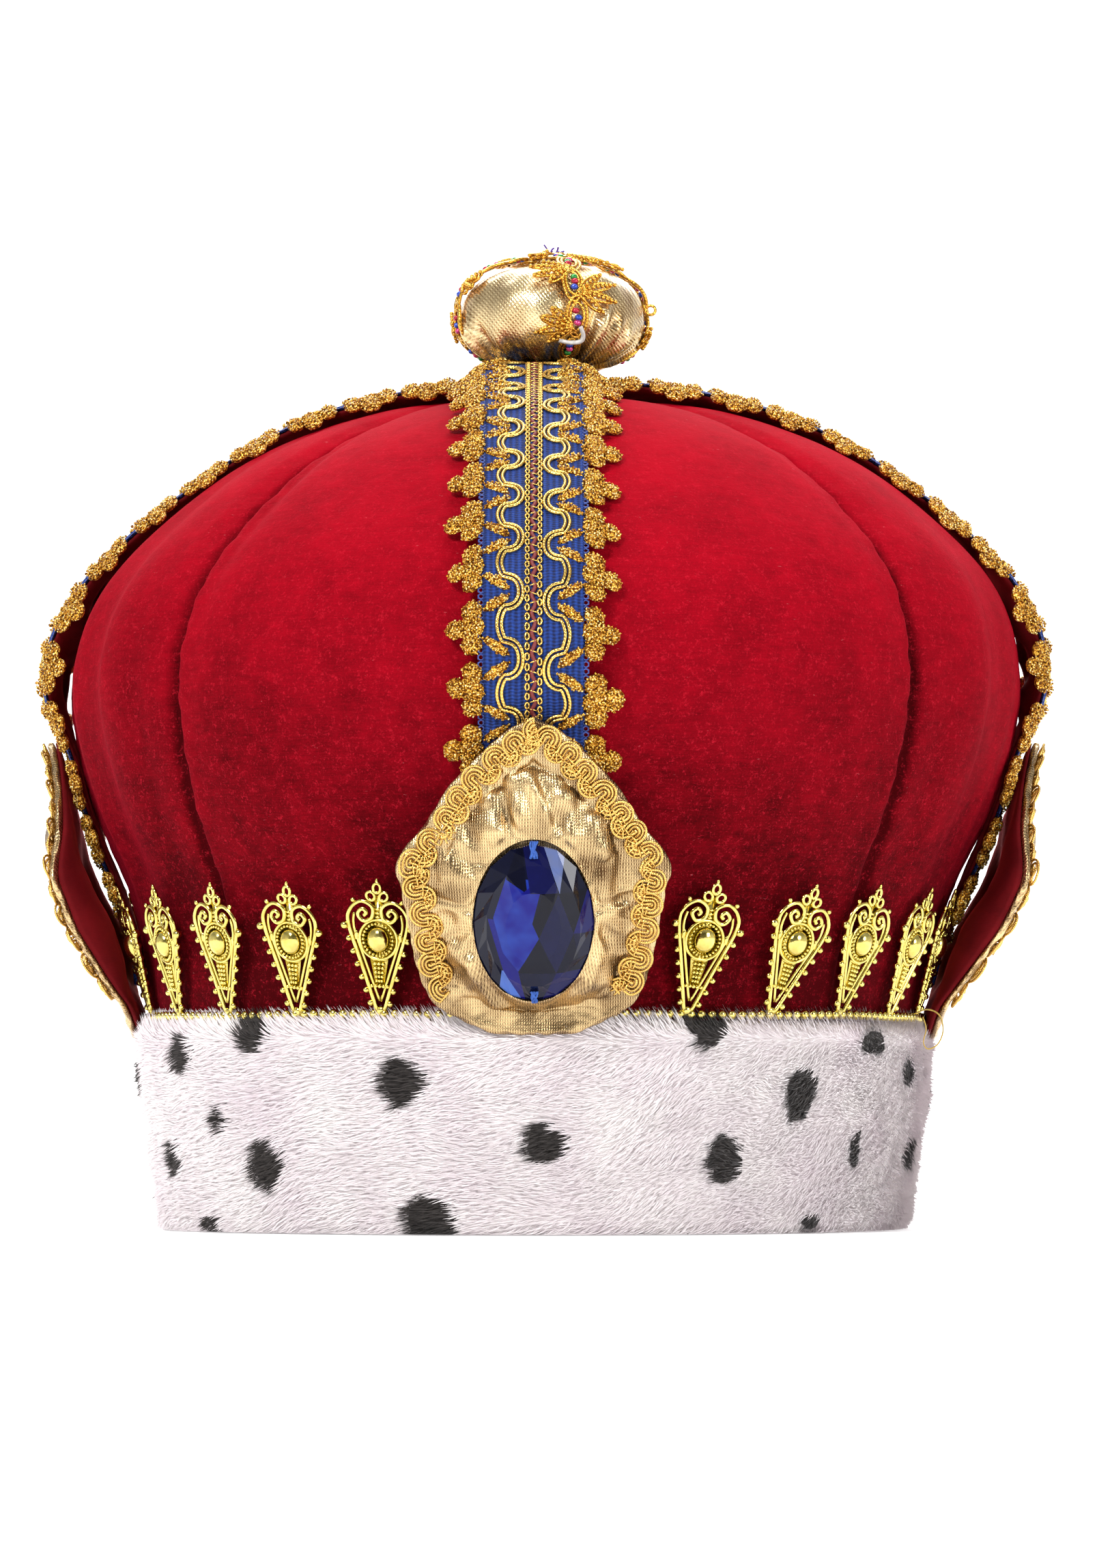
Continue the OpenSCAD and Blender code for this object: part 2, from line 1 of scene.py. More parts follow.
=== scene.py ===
"""Dresses the costume crown: plush, velvet, lace, padded lame, scroll braid, gilt drops and stone.

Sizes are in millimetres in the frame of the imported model, and become metres when a piece is made.
"""

import sys

import logging
import math
from dataclasses import dataclass, field
from enum import Enum, auto
from functools import partialmethod
from typing import Callable, Optional, Sequence, Union

import bmesh
import bpy
import numpy as np
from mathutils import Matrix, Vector


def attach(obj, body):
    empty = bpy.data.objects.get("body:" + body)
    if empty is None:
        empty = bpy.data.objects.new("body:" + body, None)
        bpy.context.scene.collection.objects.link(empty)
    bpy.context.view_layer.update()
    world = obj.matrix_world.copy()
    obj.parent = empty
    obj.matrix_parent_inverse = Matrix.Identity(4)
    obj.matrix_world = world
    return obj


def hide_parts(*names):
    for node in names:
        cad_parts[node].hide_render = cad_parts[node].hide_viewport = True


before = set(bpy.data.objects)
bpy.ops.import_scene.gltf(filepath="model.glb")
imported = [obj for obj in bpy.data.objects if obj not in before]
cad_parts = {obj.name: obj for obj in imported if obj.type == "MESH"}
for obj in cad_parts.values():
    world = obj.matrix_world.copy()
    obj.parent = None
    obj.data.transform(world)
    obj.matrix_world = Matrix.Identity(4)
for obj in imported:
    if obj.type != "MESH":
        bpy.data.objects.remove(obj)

Array = np.ndarray
Piece = bpy.types.Object
Material = bpy.types.Material
Socket = bpy.types.NodeSocket
Colour = tuple[float, float, float]
Table = Sequence[Sequence[float]]
Number = Union[float, Array]

MM = 0.001
BODY = "root"
ROUND = 2 * math.pi
UPRIGHT = np.array([0, 0, 1.0])
log = logging.getLogger("crown")


def ease(k: Array) -> Array:
    """A smooth step from 0 to 1."""
    k = np.clip(k, 0, 1)
    return k * k * (3 - 2 * k)


def mix(a: Array, b: Array, k: Array) -> Array:
    """The value a share of the way from a to b."""
    return a + (b - a) * k


def points_of(*parts: Number) -> Array:
    """Points from their coordinates, where one number serves all points."""
    return np.stack(np.broadcast_arrays(*parts), -1)


def unit(v: Array) -> Array:
    """Vectors of length one along v."""
    return v / np.maximum(np.linalg.norm(v, axis=-1, keepdims=True), 1e-9)


def left(way: Array) -> Array:
    """Flat directions turned a quarter to the left."""
    return np.stack([-way[..., 1], way[..., 0]], -1)


def turned(x: Array, y: Array, angle: float) -> tuple[Array, Array]:
    """Flat coordinates turned by an angle."""
    c, s = math.cos(angle), math.sin(angle)
    return x * c - y * s, x * s + y * c


def outward(angle: Array) -> Array:
    """Directions out of the axis, at angles from the front."""
    return np.stack([np.sin(angle), -np.cos(angle), 0 * angle], -1)


def walked(path: Array) -> Array:
    """The length walked at each point of a path."""
    return np.concatenate([[0], np.cumsum(np.linalg.norm(np.diff(path, axis=0), axis=1))])


def read(at: Array, key: Array, table: Array) -> Array:
    """A table's columns at values of its key, read between rows."""
    return np.stack([np.interp(at, key, column) for column in table.T], -1)


def smooth_curve(rows: Table, shares: Union[int, Array]) -> Array:
    """A smooth curve through a table's rows.

    Args:
        rows: Points that the curve passes through.
        shares: Shares of the way along it, or how many even ones.

    Returns:
        One point for each share.
    """
    table = np.array(rows, float)
    last = len(table) - 1
    shares = np.linspace(0, 1, shares) if isinstance(shares, int) else np.asarray(shares, float)
    at = np.clip(shares * last, 0, last - 1e-6)
    i = np.floor(at).astype(int)
    k = (at - i)[..., None]
    a, b = table[np.maximum(i - 1, 0)], table[i]
    c, d = table[i + 1], table[np.minimum(i + 2, last)]
    return 0.5 * (2 * b + (c - a) * k + (2 * a - 5 * b + 4 * c - d) * k**2 + (3 * b - a - 3 * c + d) * k**3)


def lookup(rows: Table, key: Array) -> Array:
    """A table's second column against its first, read between rows."""
    return np.interp(key, *np.array(rows, float).T)


def ripple(points: Array, length: float, seed: int) -> Array:
    """Even soft lumps in space, from about -1 to 1.

    Args:
        points: Places to read.
        length: Rough distance between two lumps.
        seed: Chooses the pattern.

    Returns:
        One value for each point.
    """
    waves = 14
    chance = np.random.default_rng(seed)
    ways = unit(chance.normal(size=(waves, 3))) * ROUND / (length * chance.uniform(0.7, 1.5, (waves, 1)))
    return np.sin(points @ ways.T + chance.uniform(0, 6.28, waves)).sum(-1) / math.sqrt(waves)


class Ends(Enum):
    """How a tube of rings closes: flat caps, a point at each end, or round to its start."""

    FLAT = auto()
    POINTS = auto()
    RING = auto()


def grid_faces(rows: int, columns: int, ends: Optional[Ends] = None) -> list[list[int]]:
    """Faces between rows of points.

    Args:
        rows: Number of rows.
        columns: Points in a row.
        ends: How the rows close where they are rings; the two points of POINTS come last.

    Returns:
        Corner numbers of each face.
    """
    i, j = np.meshgrid(np.arange(rows - 1), np.arange(columns if ends else columns - 1), indexing="ij")
    a, b = i * columns + j, i * columns + (j + 1) % columns
    faces = np.stack([a, b, b + columns, a + columns], -1).reshape(-1, 4).tolist()
    last, tip = (rows - 1) * columns, rows * columns
    pairs = [(k, (k + 1) % columns) for k in range(columns)]
    if ends is Ends.FLAT:
        faces += [list(range(columns)), list(range(last, tip))]
    elif ends is Ends.RING:
        faces += [[last + k, last + n, n, k] for k, n in pairs]
    elif ends is Ends.POINTS:
        faces += [[tip, n, k] for k, n in pairs] + [[tip + 1, last + k, last + n] for k, n in pairs]
    return faces


@dataclass
class Form:
    """Points and faces that are put together before they become a piece.

    Attributes:
        points: Places in millimetres.
        faces: Corner numbers of each face.
        marks: Numbers or vectors that each point carries, by name.
        edges: Bare edges, for paths.
    """

    points: Array
    faces: list = field(default_factory=list)
    marks: dict[str, Array] = field(default_factory=dict)
    edges: list = field(default_factory=list)

    @staticmethod
    def rings(rings: Sequence[Array], ends: Ends, tips: Sequence[Array] = (), **marks: Array) -> "Form":
        """A tube of rings of points, closed in one of the named ways; POINTS needs its two tips."""
        points = np.concatenate([*rings, *np.reshape(tips, (-1, 1, 3))])
        return Form(points, grid_faces(len(rings), len(rings[0]), ends), marks)

    @staticmethod
    def joined(parts: Sequence["Form"]) -> "Form":
        """One form from several that carry the same marks."""
        starts = np.cumsum([0] + [len(p.points) for p in parts])
        faces = [[c + int(start) for c in face] for p, start in zip(parts, starts) for face in p.faces]
        marks = {name: np.concatenate([p.marks[name] for p in parts]) for name in parts[0].marks}
        return Form(np.concatenate([p.points for p in parts]), faces, marks)

    def bent(self, place: Callable[[Array], Array]) -> "Form":
        """The same form with its points put somewhere else."""
        return Form(place(self.points), self.faces, self.marks)

    def marked(self, name: str, value: float) -> "Form":
        """The same form with one mark all over."""
        return Form(self.points, self.faces, {name: np.full(len(self.points), float(value))})

    def piece(self, name: str, material: Material, smooth: bool = True) -> Piece:
        """Makes an object at the origin, with its faces pointing out.

        Args:
            name: Name of the object.
            material: Its one material.
            smooth: Whether its shading is smooth.

        Returns:
            The object, in metres.
        """
        mesh = bpy.data.meshes.new(name)
        mesh.from_pydata((self.points * MM).tolist(), self.edges, self.faces)
        for mark, values in self.marks.items():
            kind, key = ("FLOAT_VECTOR", "vector") if values.ndim > 1 else ("FLOAT", "value")
            data = mesh.attributes.new(mark, kind, "POINT").data
            data.foreach_set(key, values.astype(np.float32).ravel())
        if self.faces:
            work = bmesh.new()
            work.from_mesh(mesh)
            bmesh.ops.recalc_face_normals(work, faces=work.faces)
            work.to_mesh(mesh)
            work.free()
        mesh.polygons.foreach_set("use_smooth", [smooth] * len(mesh.polygons))
        mesh.materials.append(material)
        return show(name, mesh)


def show(name: str, data: bpy.types.ID) -> Piece:
    """Puts data into the scene as an object."""
    thing = bpy.data.objects.new(name, data)
    bpy.context.scene.collection.objects.link(thing)
    return thing


def tube(path: Array, radius: float, sides: int = 6, ends: Ends = Ends.FLAT) -> Form:
    """A round cord along a path that lies nearly flat.

    Args:
        path: Points of its middle line.
        radius: Its radius.
        sides: Corners of its section.
        ends: Whether it has caps or joins round to its start.

    Returns:
        The cord, with its length along it as the mark "along" and its turn as "around".
    """
    path = np.asarray(path, float)
    ring = ends is Ends.RING
    ahead = np.roll(path, -1, 0) - np.roll(path, 1, 0) if ring else np.gradient(path, axis=0)
    side = unit(np.cross(unit(ahead), UPRIGHT))
    top = np.cross(side, unit(ahead))
    turn = np.arange(sides) * ROUND / sides
    section = side[:, None] * np.cos(turn)[:, None] + top[:, None] * np.sin(turn)[:, None]
    return Form.rings(path[:, None] + radius * section, ends, along=np.repeat(walked(path), sides),
                      around=np.tile(np.arange(sides) / sides, len(path)))


def bead(centre: Sequence[float], size: Sequence[float], rings: int = 4, sides: int = 8) -> Form:
    """An oval bead with its poles along Z."""
    turn = np.arange(sides) * ROUND / sides
    rise = np.pi * np.arange(1, rings) / rings
    ring = np.stack([np.sin(rise)[:, None] * np.cos(turn), np.sin(rise)[:, None] * np.sin(turn),
                     np.cos(rise)[:, None] * np.ones(sides)], -1).reshape(-1, 3)
    points = np.concatenate([ring, [UPRIGHT, -UPRIGHT]]) * np.array(size, float) + np.array(centre, float)
    return Form(points, grid_faces(rings - 1, sides, Ends.POINTS))


def hoop(centre: Sequence[float], radius: float, thick: float, steps: int = 20, sides: int = 6,
         long: float = 1.0, turn: float = 0.0) -> Form:
    """A ring of cord that lies flat, longer along its turned X where long is over 1."""
    a = np.arange(steps) * ROUND / steps
    x, y = turned(radius * long * np.cos(a), radius * np.sin(a), turn)
    return tube(np.stack([x, y, 0 * a], -1) + np.array(centre, float), thick, sides, Ends.RING)


class Value:
    """A socket's value that Python's operators work on by adding Math nodes."""

    def __init__(self, maker: "NodeMaker", socket: Socket) -> None:
        """Keeps the maker of the tree and the socket."""
        self.maker, self.socket = maker, socket

    def term(self, operation: str, other: Union["Value", float]) -> "Value":
        """This and another term in one Math node."""
        return self.maker.math(operation, self, other)

    def __rsub__(self, other: float) -> "Value":
        """A number minus this."""
        return self.maker.math("SUBTRACT", other, self)

    __add__ = __radd__ = partialmethod(term, "ADD")
    __mul__ = __rmul__ = partialmethod(term, "MULTIPLY")
    __sub__ = partialmethod(term, "SUBTRACT")

    def sine(self) -> "Value":
        """The sine of this value."""
        return self.maker.math("SINE", self)

    def over(self, low: float, high: float) -> "Value":
        """A smooth step from 0 at low to 1 at high."""
        return self.maker.value("ShaderNodeMapRange", {"interpolation_type": "SMOOTHSTEP"},
                                {0: self, 1: low, 2: high, 3: 0.0, 4: 1.0})


class NodeMaker:
    """Adds nodes to a tree and links them."""

    def __init__(self, tree: bpy.types.NodeTree) -> None:
        """Keeps the tree, emptied."""
        self.tree = tree
        tree.nodes.clear()

    def node(self, kind: str, settings: Optional[dict] = None,
             inputs: Optional[dict] = None) -> bpy.types.Node:
        """Adds a node.

        Args:
            kind: Its type.
            settings: Its properties, or "stops" for a ramp's stops.
            inputs: What goes into its sockets, by name or number.

        Returns:
            The node.
        """
        made = self.tree.nodes.new(kind)
        for name, value in (settings or {}).items():
            if name == "stops":
                ramp = made.color_ramp
                while len(ramp.elements) < len(value):
                    ramp.elements.new(0.5)
                for element, (at, colour) in zip(ramp.elements, value):
                    element.position, element.color = at, (*colour, 1)
            else:
                setattr(made, name, value)
        for name, value in (inputs or {}).items():
            self.feed(made.inputs[name], value)
        return made

    def feed(self, socket: Socket, value: object) -> None:
        """Links or sets one input."""
        value = value.socket if isinstance(value, Value) else value
        if isinstance(value, Socket):
            self.tree.links.new(value, socket)
        elif socket.type == "RGBA" and len(value) == 3:
            socket.default_value = (*value, 1)
        else:
            socket.default_value = value

    def value(self, kind: str, settings: Optional[dict] = None, inputs: Optional[dict] = None,
              out: Union[int, str] = 0) -> Value:
        """Adds a node and gives one of its outputs as a value."""
        return Value(self, self.node(kind, settings, inputs).outputs[out])

    def math(self, operation: str, *terms: Union[Value, float]) -> Value:
        """Adds a Math node on its terms."""
        return self.value("ShaderNodeMath", {"operation": operation}, dict(enumerate(terms)))

    def vector(self, operation: str, inputs: dict) -> Socket:
        """Adds a Vector Math node on its inputs."""
        return self.node("ShaderNodeVectorMath", {"operation": operation}, inputs).outputs[0]


class Surface(NodeMaker):
    """One material with its shader, whose patterns are in millimetres."""

    def __init__(self, name: str, **constants: object) -> None:
        """Makes the material and sets the shader's constant sockets, named with _ for spaces."""
        self.material = bpy.data.materials.new(name)
        self.material.use_nodes = True
        super().__init__(self.material.node_tree)
        self.shader = self.node("ShaderNodeBsdfPrincipled")
        self.node("ShaderNodeOutputMaterial", None, {0: self.shader.outputs[0]})
        for key, value in constants.items():
            self.feed(self.shader.inputs[key.replace("_", " ")], value)

    def place(self, *stretch: float) -> Socket:
        """Object coordinates in millimetres, stretched along each axis."""
        at = self.node("ShaderNodeTexCoord").outputs["Object"]
        return self.vector("MULTIPLY", {0: at, 1: tuple(k / MM for k in stretch or (1, 1, 1))})

    def along(self, name: str) -> Value:
        """A mark that the points carry."""
        return self.value("ShaderNodeAttribute", {"attribute_name": name}, out="Fac")

    def noise(self, place: Socket, scale: float, detail: float = 2.0, rough: float = 0.5) -> Value:
        """Cloudy noise with features of about 1 / scale."""
        return self.value("ShaderNodeTexNoise", None,
                          {"Vector": place, "Scale": scale, "Detail": detail, "Roughness": rough})

    def blend(self, factor: Value, a: object, b: object) -> Socket:
        """A colour between two others."""
        return self.node("ShaderNodeMix", {"data_type": "RGBA"}, {0: factor, 6: a, 7: b}).outputs[2]

    def ramp(self, factor: Value, *stops: tuple[float, Colour]) -> Socket:
        """A colour from a ramp of stops."""
        return self.node("ShaderNodeValToRGB", {"stops": stops}, {0: factor}).outputs[0]

    def dress(self, colour: object, rough: object, *bumps: tuple[Value, float]) -> Material:
        """Feeds the shader.

        Args:
            colour: Base colour.
            rough: Roughness.
            bumps: Heights from 0 to 1, each with its depth in millimetres.

        Returns:
            The finished material.
        """
        self.feed(self.shader.inputs["Base Color"], colour)
        self.feed(self.shader.inputs["Roughness"], rough)
        normal = {}
        for height, depth in bumps:
            inputs = {"Height": height, "Distance": depth * MM, "Strength": 1.0, **normal}
            normal = {"Normal": self.node("ShaderNodeBump", None, inputs).outputs[0]}
        for name, socket in normal.items():
            self.feed(self.shader.inputs[name], socket)
        return self.material


@dataclass(frozen=True)
class Velvet:
    """Crimson velvet with a short pile that catches the light at its edges, with painted light that makes it
    lighter towards the top and painted shade in its seams.
    """

    # The colour runs from deep to bright, partly by random nap and partly by painted light that is lighter
    # towards the top.
    deep: Colour = (0.046, 0.0004, 0.0014)
    bright: Colour = (0.345, 0.0016, 0.01)
    fleck: Colour = (0.6, 0.016, 0.035)
    lint: Colour = (0.66, 0.18, 0.2)

    def material(self) -> Material:
        """The finish as nodes."""
        s = Surface("crimson_velvet", Sheen_Weight=0.19, Sheen_Roughness=0.3, Sheen_Tint=(1.0, 0.02, 0.07),
                    Specular_IOR_Level=0.03)
        at = s.place()
        nap = s.noise(s.place(1, 1, 0.5), 0.055, 5, 0.62)
        brushed = s.noise(s.place(0.6, 0.6, 1.2), 0.25, 4, 0.65)
        pile = s.noise(at, 1.9, 4, 0.8)
        weave = s.noise(s.place(0.2, 0.2, 3.4), 0.8, 2, 0.5)
        # Painted light: the colour gets lighter towards the top, as if lit from above, and darker low down,
        # as if in shade.
        height = s.value("ShaderNodeSeparateXYZ", None, {0: at}, "Z").over(40.0, 225.0)
        lint = s.noise(s.place(0.5, 0.5, 1.6), 0.8, 3, 0.7).over(0.7, 0.76)
        fleck = (pile * 0.7 + s.noise(at, 0.6, 3, 0.7) * 0.5).over(0.62, 0.78)
        shade = height * 0.98 + nap * 0.75 + brushed * 0.55 + pile * 0.5 + weave * 0.3 - 1.1
        # Painted shade: the cloth is darkened along the seams' valleys.
        cloth = s.blend(shade - s.along("seam") * 0.55, self.deep, self.bright)
        colour = s.blend(lint * 0.28, s.blend(fleck * 0.36, cloth, self.fleck), self.lint)
        return s.dress(colour, 0.8 + pile * 0.12, (nap, 0.6), (brushed, 0.3), (weave, 0.06), (pile, 0.16))


@dataclass(frozen=True)
class Satin:
    """Wine red satin with fine threads."""

    deep: Colour = (0.04, 0.002, 0.003)
    bright: Colour = (0.17, 0.006, 0.009)

    def material(self) -> Material:
        """The finish as nodes."""
        s = Surface("wine_satin", Specular_IOR_Level=0.04, Sheen_Weight=0.35, Sheen_Roughness=0.35,
                    Sheen_Tint=(1.0, 0.05, 0.06))
        cloud = s.noise(s.place(), 0.12, 3)
        thread = s.noise(s.place(0.5, 0.5, 6), 1.2, 2)
        colour = s.blend(cloud * 0.7 + thread * 0.4, self.deep, self.bright)
        return s.dress(colour, 0.62 + thread * 0.14, (cloud, 0.25), (thread, 0.05))


@dataclass(frozen=True)
class Plush:
    """White plush with a faint pink cast and ragged dark spots, read from the mark "spot"."""

    white: Colour = (0.84, 0.8, 0.79)
    tint: Colour = (0.7, 0.61, 0.65)
    spot: Colour = (0.02, 0.017, 0.016)
    mottle: Colour = (0.075, 0.066, 0.062)

    def material(self) -> Material:
        """The finish as nodes."""
        s = Surface("white_plush", Sheen_Weight=0.25, Sheen_Roughness=0.5, Specular_IOR_Level=0.1)
        cloud = s.noise(s.place(), 0.045, 3)
        streak = s.noise(s.place(0.35, 0.35, 1.6), 0.9, 3, 0.6)
        pale = s.blend((cloud * 1.6 + streak * 0.9 - 0.85), self.white, self.tint)
        dark = s.blend(streak * 1.6 - 0.5, self.spot, self.mottle)
        return s.dress(s.blend(s.along("spot").over(0.36, 0.6), pale, dark), 0.9, (streak, 0.35))


@dataclass(frozen=True)
class Ribbon:
    """Royal blue knitted ribbon with wales along it, in the marks "across" and "along"."""

    # The colour runs from deep, the blue in painted shade, to bright.
    deep: Colour = (0.003, 0.008, 0.05)
    bright: Colour = (0.013, 0.05, 0.27)
    wale: float = 1.55
    course: float = 0.85

    def material(self) -> Material:
        """The finish as nodes."""
        s = Surface("blue_ribbon", Specular_IOR_Level=0.25)
        across, along = s.along("across"), s.along("along")
        rib = (across * (ROUND / self.wale)).sine()
        lean = (across * (ROUND / self.wale / 2)).sine() * 0.9
        stitch = (along * (ROUND / self.course) + lean).sine()
        fuzz = s.noise(s.place(), 1.6, 3, 0.6)
        height = rib * 0.3 + stitch * 0.22 + 0.5
        # Painted shade: the knit's low places are darker, with random tone from the fuzz.
        colour = s.blend(height + fuzz * 0.9 - 0.5, self.deep, self.bright)
        return s.dress(colour, 0.7, (height, 0.35), (fuzz, 0.15))


@dataclass(frozen=True)
class Lame:
    """Pale gold metallic cloth, with fine rows of knitted dots that lean by some degrees, and painted
    reflections and painted shade in its colour.
    """

    name: str = "gold_lame_cloth"
    # Painted shade and painted highlight: the dark brown and the pale gold that the colour is blended
    # between.
    deep: Colour = (0.08, 0.036, 0.012)
    bright: Colour = (0.81, 0.58, 0.29)
    row: float = 0.62
    lean: float = 0.0

    def material(self) -> Material:
        """The finish as nodes."""
        s = Surface(self.name, Metallic=0.94)
        across, up = s.along("across"), s.along("up")
        side, rise = turned(ROUND / self.row, 0, math.radians(self.lean))
        rows = (across * side + up * rise).sine()
        dots = (up * (side * 0.8) - across * (rise * 0.8) + s.noise(s.place(), 0.8, 1) * 5).sine()
        mottle = s.noise(s.place(), 0.11, 4, 0.6)
        # Painted reflections: long soft streaks of light and dark, longer up and down than across.
        wave = s.noise(s.place(1, 1, 0.4), 0.15, 1, 0.4)
        grit = s.noise(s.place(), 3.2, 2, 0.7)
        knit = rows * 0.2 + rows * dots * 0.16 + 0.5
        # The blend paints highlights and shade: the long streaks and the blotchy noise stand in for the
        # folds' reflections, while the knit rows and the grit are the cloth's own pattern.
        shade = knit * 1.2 + mottle + wave * 1.2 + grit * 0.5 - 1.42
        return s.dress(s.blend(shade, self.deep, self.bright), 0.15 + grit * 0.16 + mottle * 0.08,
                       (mottle, 0.2), (wave, 1.5), (knit, 0.1), (grit, 0.05))


@dataclass(frozen=True)
class MetalCord:
    """Gold thread wound round a cord, in the marks "along" and "around"."""

    name: str
    deep: Colour
    bright: Colour
    winding: float

    def material(self) -> Material:
        """The finish as nodes."""
        s = Surface(self.name, Metallic=0.92)
        strand = (s.along("along") * (ROUND / self.winding) + s.along("around") * ROUND).sine() * 0.5 + 0.5
        grit = s.noise(s.place(), 1.4, 2, 0.6)
        return s.dress(s.blend(strand * 0.35 + grit * 0.5 + 0.1, self.deep, self.bright), 0.18 + grit * 0.12,
                       (strand, 0.04), (grit, 0.02))


@dataclass(frozen=True)
class Glitter:
    """Crocheted metallic thread with painted sparkle, bright in the middle of each cell and dark at its edge,
    each stitch with its own mark "shade".
    """

    glint_grain: float = 1.75
    # The ramp runs from painted shade at the cells' edges to painted glints in their middles.
    stops: tuple = ((0.0, (0.12, 0.036, 0.002)), (0.22, (0.42, 0.16, 0.008)), (0.42, (0.98, 0.52, 0.045)),
                    (0.62, (1.0, 0.78, 0.18)), (0.8, (1.0, 0.95, 0.6)))

    def material(self) -> Material:
        """The finish as nodes."""
        s = Surface("glitter_crochet", Metallic=0.6, Specular_IOR_Level=0.35)
        at = s.place()
        cells = s.node("ShaderNodeTexVoronoi", None, {"Vector": at, "Scale": self.glint_grain})
        glint_grain, chance = Value(s, cells.outputs["Distance"]), Value(s, cells.outputs["Color"])
        fleck = s.noise(at, 1.3, 2, 0.7)
        # Painted glints: each cell is bright in its middle and dark at its edge, with a random brightness for
        # each cell.
        shade = (1 - glint_grain * 1.3) * (chance * 1.1 + 0.45) + s.along("shade") * 0.18 + fleck * 0.4 - 0.3
        return s.dress(s.ramp(shade, *self.stops), 0.26 + glint_grain * 0.2, (glint_grain, -0.28), (fleck, 0.2))


@dataclass(frozen=True)
class GiltPlastic:
    """Polished plastic with a greenish yellow metal plating."""

    deep: Colour = (0.5, 0.36, 0.06)
    bright: Colour = (0.92, 0.8, 0.26)

    def material(self) -> Material:
        """The finish as nodes."""
        s = Surface("gilt_plastic_plating", Metallic=1.0, Coat_Roughness=0.05)
        cloud = s.noise(s.place(), 0.35, 3)
        grit = s.noise(s.place(), 1.8, 2)
        colour = s.blend(cloud * 1.1 + grit * 0.3 - 0.2, self.deep, self.bright)
        return s.dress(colour, 0.09 + grit * 0.13, (grit, 0.035))


@dataclass(frozen=True)
class Stone:
    """Deep blue acrylic whose facets each have their own mark "shade", a painted lightness that stands in for
    its reflections and the light inside it.
    """

    # The top stop, a pale grey, is a painted reflection.
    stops: tuple = ((0.0, (0.001, 0.001, 0.004)), (0.25, (0.003, 0.004, 0.018)), (0.5, (0.005, 0.005, 0.075)),
                    (0.7, (0.004, 0.004, 0.145)), (0.86, (0.035, 0.12, 0.5)), (1.0, (0.12, 0.12, 0.13)))

    def material(self) -> Material:
        """The finish as nodes."""
        s = Surface("blue_acrylic", IOR=1.49, Specular_IOR_Level=0.26)
        cloud = s.noise(s.place(), 0.16, 2)
        shade = s.along("shade") + cloud * 0.12 - 0.06
        return s.dress(s.ramp(shade, *self.stops), 0.05, (cloud, 0.02))


@dataclass(frozen=True)
class Thread:
    """Plain sewing thread, glue or seed bead of one colour."""

    name: str
    colour: Colour
    rough: float = 0.55
    metal: float = 0.0

    def material(self) -> Material:
        """The finish as nodes."""
        s = Surface(self.name, Metallic=self.metal, Specular_IOR_Level=0.6)
        fuzz = s.noise(s.place(), 1.5, 3, 0.6)
        dark = tuple(k * 0.45 for k in self.colour)
        return s.dress(s.blend(fuzz * 1.2 - 0.1, dark, self.colour), self.rough, (fuzz, 0.12))


class SeedBead(Enum):
    """Colours of the seed beads on the ball."""

    GREEN = (0.02, 0.3, 0.05)
    PINK = (0.75, 0.06, 0.25)
    BLUE = (0.04, 0.1, 0.62)
    RED = (0.55, 0.02, 0.05)


class Finishes:
    """Every material, made once."""

    def __init__(self) -> None:
        """Makes the materials."""
        self.velvet = Velvet().material()
        self.satin = Satin().material()
        self.plush = Plush().material()
        self.ribbon = Ribbon().material()
        self.lame = Lame().material()
        # The ball's cloth, with its own painted shade and painted highlight colours.
        self.ball_lame = Lame("ball_lame_cloth", (0.25, 0.13, 0.04), (1.0, 0.79, 0.44), 0.8, 38).material()
        self.cord = MetalCord("gimp_cord", (0.38, 0.16, 0.014), (1.0, 0.71, 0.22), 0.5).material()
        self.fine_cord = MetalCord("trim_cord", (0.3, 0.11, 0.008), (1.0, 0.6, 0.1), 0.9).material()
        self.bright_cord = MetalCord("couching_cord", (0.42, 0.22, 0.025), (0.98, 0.7, 0.2), 0.9).material()
        self.glitter = Glitter().material()
        self.gilt = GiltPlastic().material()
        self.stone = Stone().material()
        self.core = Thread("dark_red_core", (0.2, 0.012, 0.012)).material()
        self.picot = Thread("blue_picot", (0.035, 0.075, 0.34)).material()
        self.stone_thread = Thread("blue_thread", (0.03, 0.12, 0.5), 0.8).material()
        self.purple_thread = Thread("purple_thread", (0.14, 0.05, 0.4), 0.8).material()
        self.glue = Thread("white_glue", (0.8, 0.79, 0.76), 0.4).material()
        self.yellow_thread = Thread("yellow_thread", (0.75, 0.5, 0.1), 0.8).material()
        self.beads = {kind: Thread(f"seed_bead_{kind.name.lower()}", kind.value, 0.12, 0.3).material()
                      for kind in SeedBead}


class Tree(Enum):
    """The node trees that repeat and sweep things."""

    UNITS = "rows_of_units"
    CORD = "cord_along_path"
    FUR = "combed_fur"


